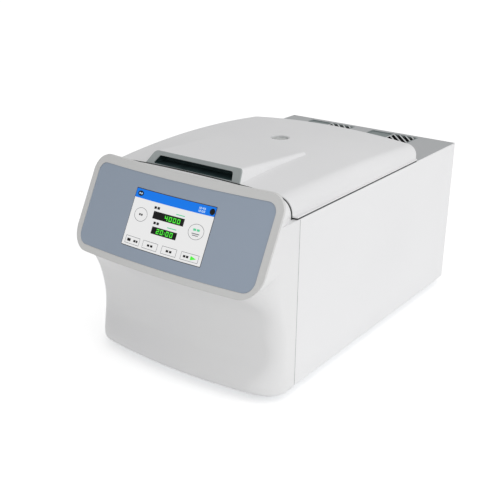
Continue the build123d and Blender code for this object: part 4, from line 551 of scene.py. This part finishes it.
def folded_sheet(name, panel_name, way):
    """A side sheet whose four edges are rolled over, so that a fine groove shows at each joint."""
    low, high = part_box(panel_name)
    outer_x, inner_x = (high.x, low.x) if way > 0 else (low.x, high.x)
    form = bmesh.new()

    def rim(x, inset):
        y0, y1, z0, z1 = low.y + inset, high.y - inset, low.z + inset, high.z - inset
        wide = [y0 + (y1 - y0) * step / SHEET_COLUMNS for step in range(SHEET_COLUMNS)]
        tall = [z0 + (z1 - z0) * step / SHEET_ROWS for step in range(SHEET_ROWS)]
        points = [(x, y, z0) for y in wide] + [(x, y1, z) for z in tall]
        points += [(x, y0 + y1 - y, z1) for y in wide] + [(x, y0, z0 + z1 - z) for z in tall]
        return [form.verts.new(point) for point in points]

    rings = [rim(inner_x, 0.0)]
    for step in range(FOLD_STEPS + 1):
        lean = pi / 2 * step / FOLD_STEPS
        sunk = FOLD_RADIUS * (1 - sin(lean))
        rings.append(rim(outer_x - way * sunk, FOLD_RADIUS * (1 - cos(lean))))
    form.faces.new(rings[0])
    form.faces.new(rings[-1])
    for first, second in zip(rings, rings[1:]):
        for face in wall(form, first, second):
            face.smooth = first is not rings[0]
    piece = finished_piece(name, form, sheet_white)
    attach(piece, "housing")
    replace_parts(piece, panel_name)


dress(sheet_white, "rear_panel")
folded_sheet("folded_sheet_left", "side_panel_left", -1)
folded_sheet("folded_sheet_right", "side_panel_right", 1)

# Rear bay cover and its two grilles: grey coated steel with a moulded grille in each opening.
# One half of each grille is a plain sunk field, and the other has slanting bars over dark slots,
# their walls painted shade.
PLAIN_HALF = 0.047
GRILLE_RIM = 0.003
GRILLE_SINK = 0.0012
BAR_WIDE = 0.0030
BAR_PITCH = 0.0098
BAR_SLANT = radians(50)
EDGE_BREAK = 0.0003
FIELD, BAR, SHADED_WALL = 0, 1, 2

cover_grey = surface_finish(
    "cover_grey", eye_colour(182, 184, 186), eye_colour(178, 181, 182),
    patch=5, rough=0.42, grain=650, depth=0.00004
)
grille_grey = surface_finish(
    "grille_grey", eye_colour(134, 144, 144), eye_colour(128, 138, 138),
    patch=9, rough=0.5, grain=1400, depth=0.00003
)
bar_grey = surface_finish(
    "bar_grey", eye_colour(206, 209, 210), eye_colour(200, 203, 204),
    patch=9, rough=0.5, grain=1400, depth=0.00003, edge=0.0002
)
# Painted shade: the side walls of the bars and the divider are near black, standing in for the shade
# between the bars.
painted_shade_walls = surface_finish(
    "painted_shade_walls", eye_colour(22, 27, 28), eye_colour(16, 20, 21),
    patch=9, rough=0.8, grain=1400, depth=0.00003, edge=0.0001, Specular_IOR_Level=0.1
)


def slab(form, outline, low, high, top_paint, side_paint):
    """Adds a flat plate with a convex outline, whose upper edge is broken."""
    outline = [Vector(point) for point in outline]
    middle = sum(outline, Vector((0.0, 0.0))) / len(outline)
    rings = []
    for z, shrink in ((low, 0.0), (high - EDGE_BREAK, 0.0), (high, EDGE_BREAK)):
        ring = []
        for point in outline:
            away = point - middle
            place = middle + away * (1.0 - shrink / away.length)
            ring.append(form.verts.new((place.x, place.y, z)))
        rings.append(ring)
    form.faces.new(list(reversed(rings[0]))).material_index = side_paint
    form.faces.new(rings[-1]).material_index = top_paint
    for lower, upper, paint in zip(rings, rings[1:], (side_paint, top_paint)):
        for face in wall(form, lower, upper):
            face.material_index = paint


def kept_side(outline, across, limit):
    """The part of an outline up to a straight line square to a direction."""
    kept = []
    for first, second in zip(outline, outline[1:] + outline[:1]):
        a = across.dot(first) - limit
        b = across.dot(second) - limit
        if a <= 0:
            kept.append(first)
        if a * b < 0:
            kept.append(first.lerp(second, a / (a - b)))
    return kept


def grille(name, low, high):
    """One moulded grille in the place of the solid's: rim, sunk field, divider and bars."""
    form = bmesh.new()
    left, right = low.x + GRILLE_RIM, high.x - GRILLE_RIM
    front, rear = low.y + GRILLE_RIM, high.y - GRILLE_RIM
    split = low.x + PLAIN_HALF
    outer = oblong(low.x, low.y, high.x, high.y)
    inner = oblong(left, front, right, rear)
    for side in zip(outer, outer[1:] + outer[:1], inner[1:] + inner[:1], inner):
        slab(form, side, low.z, high.z, FIELD, FIELD)
    slab(form, oblong(left, front, split, rear), low.z, high.z - GRILLE_SINK, FIELD, FIELD)
    slab(form, oblong(split, front, split + GRILLE_RIM, rear), low.z, high.z, BAR, SHADED_WALL)
    window = [Vector(point) for point in oblong(split + GRILLE_RIM, front, right, rear)]
    across = Vector((sin(BAR_SLANT), cos(BAR_SLANT)))
    reaches = [across.dot(point) for point in window]
    place = min(reaches) + BAR_PITCH / 2
    while place < max(reaches):
        bar = kept_side(window, across, place + BAR_WIDE / 2)
        bar = kept_side(bar, -across, BAR_WIDE / 2 - place)
        if len(bar) > 2:
            slab(form, bar, low.z, high.z, BAR, SHADED_WALL)
        place += BAR_PITCH
    piece = finished_piece(name, form, grille_grey, bar_grey, painted_shade_walls)
    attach(piece, "housing")
    return piece


dress(cover_grey, "rear_top_cover")
for side in ("left", "right"):
    grille_low, grille_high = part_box("vent_grille_" + side)
    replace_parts(grille("barred_grille_" + side, grille_low, grille_high), "vent_grille_" + side)

# Joint strips: dark strips in the groove between the front shell and each side sheet, as painted
# shade.
# Each lies against the sheet's rolled edge and stands in for the joint's shade as a fine dark line.
JOINT_WIDE = 0.0003
JOINT_PLAY = 0.00002
JOINT_SUNK = 0.0002
JOINT_END = 0.0015
JOINT_STEPS = 24
JOINT_ARC = 5

painted_shade_joint = surface_finish(
    "painted_shade_joint", eye_colour(66, 69, 70), eye_colour(58, 61, 62),
    patch=60, rough=0.8, grain=1600, depth=0.00002, edge=0.00005
)


def joint_shade_strip(name, sheet_name, way):
    """A strip in the groove, whose rear side follows the side sheet's rolled edge."""
    low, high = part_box(sheet_name)
    outer_x = high.x if way > 0 else low.x
    y0 = low.y - JOINT_WIDE + JOINT_PLAY
    section = [(outer_x - way * FOLD_RADIUS, y0), (outer_x - way * JOINT_SUNK, y0)]
    roll = FOLD_RADIUS + JOINT_PLAY
    last = asin(1 - JOINT_SUNK / FOLD_RADIUS)
    for step in range(JOINT_ARC, -1, -1):
        lean = last * step / JOINT_ARC
        sunk = FOLD_RADIUS - roll * sin(lean)
        section.append((outer_x - way * sunk, low.y + FOLD_RADIUS - roll * cos(lean)))
    form = bmesh.new()
    rings = []
    for step in range(JOINT_STEPS + 1):
        z = low.z + JOINT_END + (high.z - low.z - 2 * JOINT_END) * step / JOINT_STEPS
        rings.append([form.verts.new((x, y, z)) for x, y in section])
    form.faces.new(rings[0])
    form.faces.new(list(reversed(rings[-1])))
    for lower, upper in zip(rings, rings[1:]):
        wall(form, lower, upper)
    piece = finished_piece(name, form, painted_shade_joint)
    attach(piece, "housing")


joint_shade_strip("joint_seal_left", "side_panel_left", -1)
joint_shade_strip("joint_seal_right", "side_panel_right", 1)

# Slot shade sheets: black foam sheets glued under the slots of each grille, as painted shade.
# Their near black stands in for the shade in the rear bay that makes the slots look dark from above.
FILTER_INSET = 0.005
FILTER_THICK = 0.004
FILTER_FACETS = 7
FILTER_SAG = 0.0007

painted_shade_foam = surface_finish(
    "painted_shade_foam", eye_colour(26, 28, 29), eye_colour(16, 18, 19),
    patch=300, rough=0.9, grain=380, depth=0.0004, edge=0.0006, Specular_IOR_Level=0.1
)


def slot_shade_sheet(name, low, high):
    """A sheet of foam under a grille, whose underside sags a little between its glued edges."""
    left, right = low.x + PLAIN_HALF + FILTER_INSET / 2, high.x - FILTER_INSET
    front, rear = low.y + FILTER_INSET, high.y - FILTER_INSET
    form = bmesh.new()
    layers = []
    for bottom in (False, True):
        rows = []
        for down in range(FILTER_FACETS + 1):
            row = []
            for over in range(FILTER_FACETS + 1):
                u, v = over / FILTER_FACETS, down / FILTER_FACETS
                drop = bottom * (FILTER_THICK + FILTER_SAG * sin(pi * u) * sin(pi * v))
                place = (left + u * (right - left), front + v * (rear - front), low.z - drop)
                row.append(form.verts.new(place))
            rows.append(row)
        layers.append(rows)
    for rows in layers:
        for first, second in zip(rows, rows[1:]):
            for a, b, c, d in zip(first, first[1:], second[1:], second):
                form.faces.new((a, b, c, d))
    rims = []
    for rows in layers:
        rim = rows[0][:-1] + [row[-1] for row in rows[:-1]]
        rim += list(reversed(rows[-1]))[:-1] + [row[0] for row in reversed(rows[1:])]
        rims.append(rim)
    wall(form, *rims)
    piece = finished_piece(name, form, painted_shade_foam)
    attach(piece, "housing")


for side in ("left", "right"):
    grille_low, grille_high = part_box("vent_grille_" + side)
    slot_shade_sheet("slot_shade_sheet_" + side, grille_low, grille_high)

# Deck round the chamber mouth, with the rubber strip that shows as a dark line under the lid, partly
# painted shade.
# The deck is a grey moulding; the strip is extruded rubber, glued down.
deck_grey = surface_finish(
    "deck_grey", eye_colour(205, 208, 209), eye_colour(200, 203, 205),
    patch=6, rough=0.45, grain=1300, depth=0.00003
)
black_rubber = surface_finish(
    "black_rubber", eye_colour(44, 48, 48), eye_colour(36, 40, 40),
    patch=30, rough=0.68, grain=1100, depth=0.00006
)
dress(deck_grey, "chamber_deck")
# Painted shade in part: the deck edge seal's black also stands in for the shade in the seam under
# the lid.
dress(black_rubber, "deck_edge_seal", "lid_gasket", "motor_mounts", "motor_gaiter")
dress(black_rubber, "compressor_grommets", "rubber_feet")

# Chamber bowl and lid liner: stainless steel. The bowl is deep drawn and polished round and
# round on a lathe, and its rim lies on the deck. The liner is brushed sheet.
bowl_low, bowl_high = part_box("chamber_bowl")
chamber_middle = ((bowl_low.x + bowl_high.x) / 2, (bowl_low.y + bowl_high.y) / 2, 0.0)
drawn_steel = surface_finish(
    "drawn_steel", eye_colour(214, 216, 218), eye_colour(202, 205, 208),
    patch=7, rough=0.26, grain=900, depth=0.00002, rings=chamber_middle, Metallic=1.0
)
brushed_liner = surface_finish(
    "brushed_liner", eye_colour(210, 212, 214), eye_colour(199, 202, 205),
    patch=6, rough=0.3, grain=500, depth=0.00002, lay=(0.06, 3.0, 3.0), Metallic=1.0
)
dress(drawn_steel, "chamber_bowl")
dress(brushed_liner, "lid_liner")

# Evaporator coil, pipes and filter drier: bent copper tube, brazed at its joints.
# The coil is wound on the bowl; the pipes run to the compressor and the condenser.
bent_copper = surface_finish(
    "bent_copper", eye_colour(204, 128, 92), eye_colour(176, 100, 70),
    patch=28, rough=0.32, grain=600, depth=0.00002, Metallic=1.0
)
dress(bent_copper, "evaporator_coil", "discharge_pipe", "liquid_pipe", "filter_drier")

# Insulation: pale foam, poured round the bowl and cut as a disc for the lid.
# Its cut faces show small open cells.
pale_foam = surface_finish(
    "pale_foam", eye_colour(232, 222, 184), eye_colour(220, 208, 168),
    patch=40, rough=0.85, grain=420, depth=0.0003
)
dress(pale_foam, "insulation_foam", "lid_insulation")

# Screws: plated button heads with a six-sided socket. Eight hold the rear panel, four the deck
# and six the lid's liner, where its bosses are.
SCREW_POINTS = 24
SOCKET_SIDE = pi / 3

# From the foot of the head into its socket: shares of its radius and height, and if six-sided.
SCREW_PROFILE = (
    (1.0, 0.0, False), (1.0, 0.3, False), (0.9, 0.7, False), (0.7, 0.94, False), (0.58, 1.0, False),
    (0.5, 1.0, True), (0.5, 0.35, True),
)

# The heads' radii and heights, and where the screws sit.
REAR_SCREW = (0.004, 0.0015)
DECK_SCREW = (0.0035, 0.0018)
DECK_SCREW_INSET = 0.016
LINER_SCREW_INSET = 0.0158
LINER_STATIONS = (0.108, 0.41, 0.96)

screw_zinc = surface_finish(
    "screw_zinc", eye_colour(188, 192, 196), eye_colour(164, 169, 174),
    patch=160, rough=0.34, grain=900, depth=0.00002, edge=0.0002, Metallic=1.0
)


def socket_screws(name, seats, size, body):
    """Button head screws as one piece, each seated at a place and facing a way."""
    radius, height = size
    form = bmesh.new()
    for seat, facing in seats:
        turn = Vector(facing).to_track_quat("Z", "Y").to_matrix()
        rings = []
        for reach, rise, six_sided in SCREW_PROFILE:
            ring = []
            for number in range(SCREW_POINTS):
                angle = 2 * pi * number / SCREW_POINTS
                off_flat = angle % SOCKET_SIDE - SOCKET_SIDE / 2
                flat = cos(SOCKET_SIDE / 2) / cos(off_flat) if six_sided else 1.0
                out = reach * radius * flat
                spot = Vector((out * cos(angle), out * sin(angle), rise * height))
                ring.append(form.verts.new(Vector(seat) + turn @ spot))
            rings.append(ring)
        form.faces.new(list(reversed(rings[0])))
        form.faces.new(rings[-1])
        for lower, upper in zip(rings, rings[1:]):
            wall(form, lower, upper)
    piece = finished_piece(name, form, screw_zinc)
    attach(piece, body)
    return piece


screws_low, screws_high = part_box("panel_screws")
side_x = screws_high.x - REAR_SCREW[0]
low_z = screws_low.z + REAR_SCREW[0]
high_z = screws_high.z - REAR_SCREW[0]
rear_spots = [(x, z) for x in (-side_x, 0.0, side_x) for z in (low_z, high_z)]
rear_spots += [(x, (low_z + high_z) / 2) for x in (-side_x, side_x)]
rear_seats = [((x, screws_low.y, z), (0, 1, 0)) for x, z in rear_spots]
rear_screws = socket_screws("rear_socket_screws", rear_seats, REAR_SCREW, "housing")
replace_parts(rear_screws, "panel_screws")

deck_low, deck_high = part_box("chamber_deck")
deck_x = deck_high.x - DECK_SCREW_INSET
deck_ends = (deck_low.y + 2 * DECK_SCREW_INSET, deck_high.y - DECK_SCREW_INSET)
deck_seats = [((x, y, deck_high.z), (0, 0, 1)) for x in (-deck_x, deck_x) for y in deck_ends]
socket_screws("deck_socket_screws", deck_seats, DECK_SCREW, "housing")

liner_low, liner_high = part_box("lid_liner")
liner_x = liner_high.x - LINER_SCREW_INSET
liner_rows = [liner_low.y + share * (liner_high.y - liner_low.y) for share in LINER_STATIONS]
liner_seats = [((x, y, liner_low.z), (0, 0, -1)) for x in (-liner_x, liner_x) for y in liner_rows]
socket_screws("liner_socket_screws", liner_seats, DECK_SCREW, "lid")

# Guard ring: rolled thick steel in grey primer, standing on the chassis round the chamber.
# It would hold back the pieces of a broken rotor.
grey_primer = surface_finish(
    "grey_primer", eye_colour(112, 116, 118), eye_colour(102, 106, 109),
    patch=12, rough=0.6, grain=500, depth=0.00008
)
dress(grey_primer, "guard_ring")

# Chassis plate and latch bracket: zinc plated steel with its cloudy crystals.
# The plate carries everything; the bracket hangs under the deck.
zinc_plate = surface_finish(
    "zinc_plate", eye_colour(196, 200, 204), eye_colour(168, 174, 180),
    patch=70, rough=0.38, grain=300, depth=0.00002, Metallic=1.0
)
dress(zinc_plate, "base_plate", "latch_bracket")

# Drive motor: a cast aluminium can on three rubber mounts, with a laminated stator, a magnet
# rotor, two ball bearings and a ground steel shaft. Latch and hinge pins are ground steel too.
cast_aluminium = surface_finish(
    "cast_aluminium", eye_colour(176, 179, 182), eye_colour(156, 160, 164),
    patch=45, rough=0.5, grain=520, depth=0.00012, Metallic=1.0
)
laminated_iron = surface_finish(
    "laminated_iron", eye_colour(118, 108, 100), eye_colour(96, 86, 80),
    patch=50, rough=0.5, grain=1500, depth=0.0001, lay=(0.05, 0.05, 2.0), Metallic=1.0
)
ground_steel = surface_finish(
    "ground_steel", eye_colour(206, 208, 210), eye_colour(192, 195, 198),
    patch=30, rough=0.22, grain=1500, depth=0.00001, Metallic=1.0
)
dress(cast_aluminium, "motor_housing")
dress(laminated_iron, "motor_stator", "motor_rotor")
dress(ground_steel, "motor_bearings", "drive_shaft", "lid_striker", "latch_hook", "hinge_pins")

# Angle rotor: turned from one aluminium block and anodised grey, with six slanting bores.
# A clear lid closes it and a black fluted knob locks both on the shaft.
turned_aluminium = surface_finish(
    "turned_aluminium", eye_colour(158, 162, 168), eye_colour(146, 151, 158),
    patch=10, rough=0.34, grain=1300, depth=0.00003, rings=chamber_middle, Metallic=1.0
)
clear_acrylic = surface_finish(
    "clear_acrylic", (0.93, 0.96, 0.97, 1.0), (0.9, 0.94, 0.955, 1.0),
    patch=8, rough=0.09, grain=700, depth=0.000004, Transmission_Weight=1.0, IOR=1.49
)
knob_black = surface_finish(
    "knob_black", eye_colour(40, 41, 44), eye_colour(33, 34, 37),
    patch=40, rough=0.46, grain=1600, depth=0.00004
)
dress(turned_aluminium, "angle_rotor")
dress(clear_acrylic, "rotor_lid")
dress(knob_black, "rotor_knob")

# Lid: a crowned white moulding with a raised hood, a grey grip frame and a dark pocket liner.
# The liner under it is screwed up into six bosses.
lid_white = surface_finish(
    "lid_white", eye_colour(239, 239, 240), eye_colour(236, 236, 237),
    patch=4, rough=0.4, grain=1400, depth=0.00003
)
grip_grey = surface_finish(
    "grip_grey", eye_colour(168, 175, 175), eye_colour(161, 168, 168),
    patch=12, rough=0.48, grain=1500, depth=0.00003
)
pocket_dark = surface_finish(
    "pocket_dark", eye_colour(48, 68, 69), eye_colour(34, 52, 54),
    patch=60, rough=0.7, grain=1200, depth=0.00004, Specular_IOR_Level=0.2
)
dress(lid_white, "lid_shell")
dress(grip_grey, "grip_surround")
dress(pocket_dark, "grip_pocket")

# Sight port: a plastic sleeve through the lid with a clear disc, sunk a little.
# It lets a hand-held speed meter see the rotor.
port_grey = surface_finish(
    "port_grey", eye_colour(224, 226, 226), eye_colour(218, 220, 220),
    patch=20, rough=0.45, grain=1500, depth=0.00003
)
port_clear = surface_finish(
    "port_clear", eye_colour(226, 228, 228), eye_colour(220, 222, 222),
    patch=20, rough=0.2, grain=900, depth=0.000004, Transmission_Weight=0.35, IOR=1.49
)
dress(port_grey, "port_tube")
dress(port_clear, "port_glass")

# Hinges: pressed steel arms and brackets with a dull zinc finish, on headed pins.
# The arms are screwed to the lid's rear wall and the brackets to the rear cover.
hinge_zinc = surface_finish(
    "hinge_zinc", eye_colour(172, 176, 180), eye_colour(150, 155, 160),
    patch=60, rough=0.42, grain=420, depth=0.00003, Metallic=1.0
)
dress(hinge_zinc, "hinge_arm_left", "hinge_arm_right", "hinge_bracket_left", "hinge_bracket_right")

# Compressor in black enamel, and latch motor, fan and rear sockets in black moulded plastic.
# They sit in the rear bay or on the rear panel, apart from the latch motor.
black_enamel = surface_finish(
    "black_enamel", eye_colour(34, 35, 37), eye_colour(27, 28, 30),
    patch=14, rough=0.28, grain=420, depth=0.00008
)
black_moulding = surface_finish(
    "black_moulding", eye_colour(42, 43, 45), eye_colour(35, 36, 38),
    patch=30, rough=0.5, grain=1500, depth=0.00004
)
dress(black_enamel, "compressor")
dress(black_moulding, "latch_motor", "fan_shroud", "fan_impeller")
dress(black_moulding, "power_inlet", "switch_frame", "rocker")

# Marks on the mains switch: a bar for on and a ring for off, moulded into the rocker's face.
# They are filled with white paint.
MARK_LIFT = 0.0001
WELL_BEHIND = 0.05
ON_BAR_HALF = (0.0004, 0.0022)
RING_RADIUS = 0.0022
RING_LINE = 0.0006
RING_POINTS = 28

mark_white = surface_finish(
    "mark_white", eye_colour(228, 228, 226), eye_colour(218, 218, 216),
    patch=90, rough=0.5, grain=1600, depth=0.00001, edge=0.00005
)
rocker_low, rocker_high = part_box("rocker")
rocker_x = (rocker_low.x + rocker_high.x) / 2
rocker_z = (rocker_low.z + rocker_high.z) / 2
quarter = (rocker_high.z - rocker_low.z) / 4


def on_rocker(x, z, lift):
    """The place on the rocker's rear face, raised off it."""
    start = Vector((x, rocker_high.y + WELL_BEHIND, z))
    _, place, normal, _ = nodes["rocker"].ray_cast(start, Vector((0.0, -1.0, 0.0)))
    return place + normal * lift


bar_x, bar_z = ON_BAR_HALF
bar_middle = rocker_z + quarter
ring_middle = rocker_z - quarter
marks = [oblong(rocker_x - bar_x, bar_middle - bar_z, rocker_x + bar_x, bar_middle + bar_z)]
for number in range(RING_POINTS):
    first = 2 * pi * number / RING_POINTS
    second = 2 * pi * (number + 1) / RING_POINTS
    inside = RING_RADIUS - RING_LINE
    corners = ((RING_RADIUS, first), (RING_RADIUS, second), (inside, second), (inside, first))
    marks.append([
        (rocker_x + reach * cos(angle), ring_middle + reach * sin(angle)) for reach, angle in corners
    ])
mark_form = thin_plates(marks, on_rocker, -MARK_LIFT, MARK_LIFT)
piece = finished_piece("rocker_marks", mark_form, mark_white)
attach(piece, "rocker")

# Condenser and drive electronics: bare finned aluminium, left as it comes from the press.
# Both stand in the rear bay behind the exhaust slots.
bare_aluminium = surface_finish(
    "bare_aluminium", eye_colour(198, 201, 204), eye_colour(182, 186, 190),
    patch=30, rough=0.4, grain=700, depth=0.00003, lay=(0.1, 1.0, 1.0), Metallic=1.0
)
dress(bare_aluminium, "condenser", "inverter")
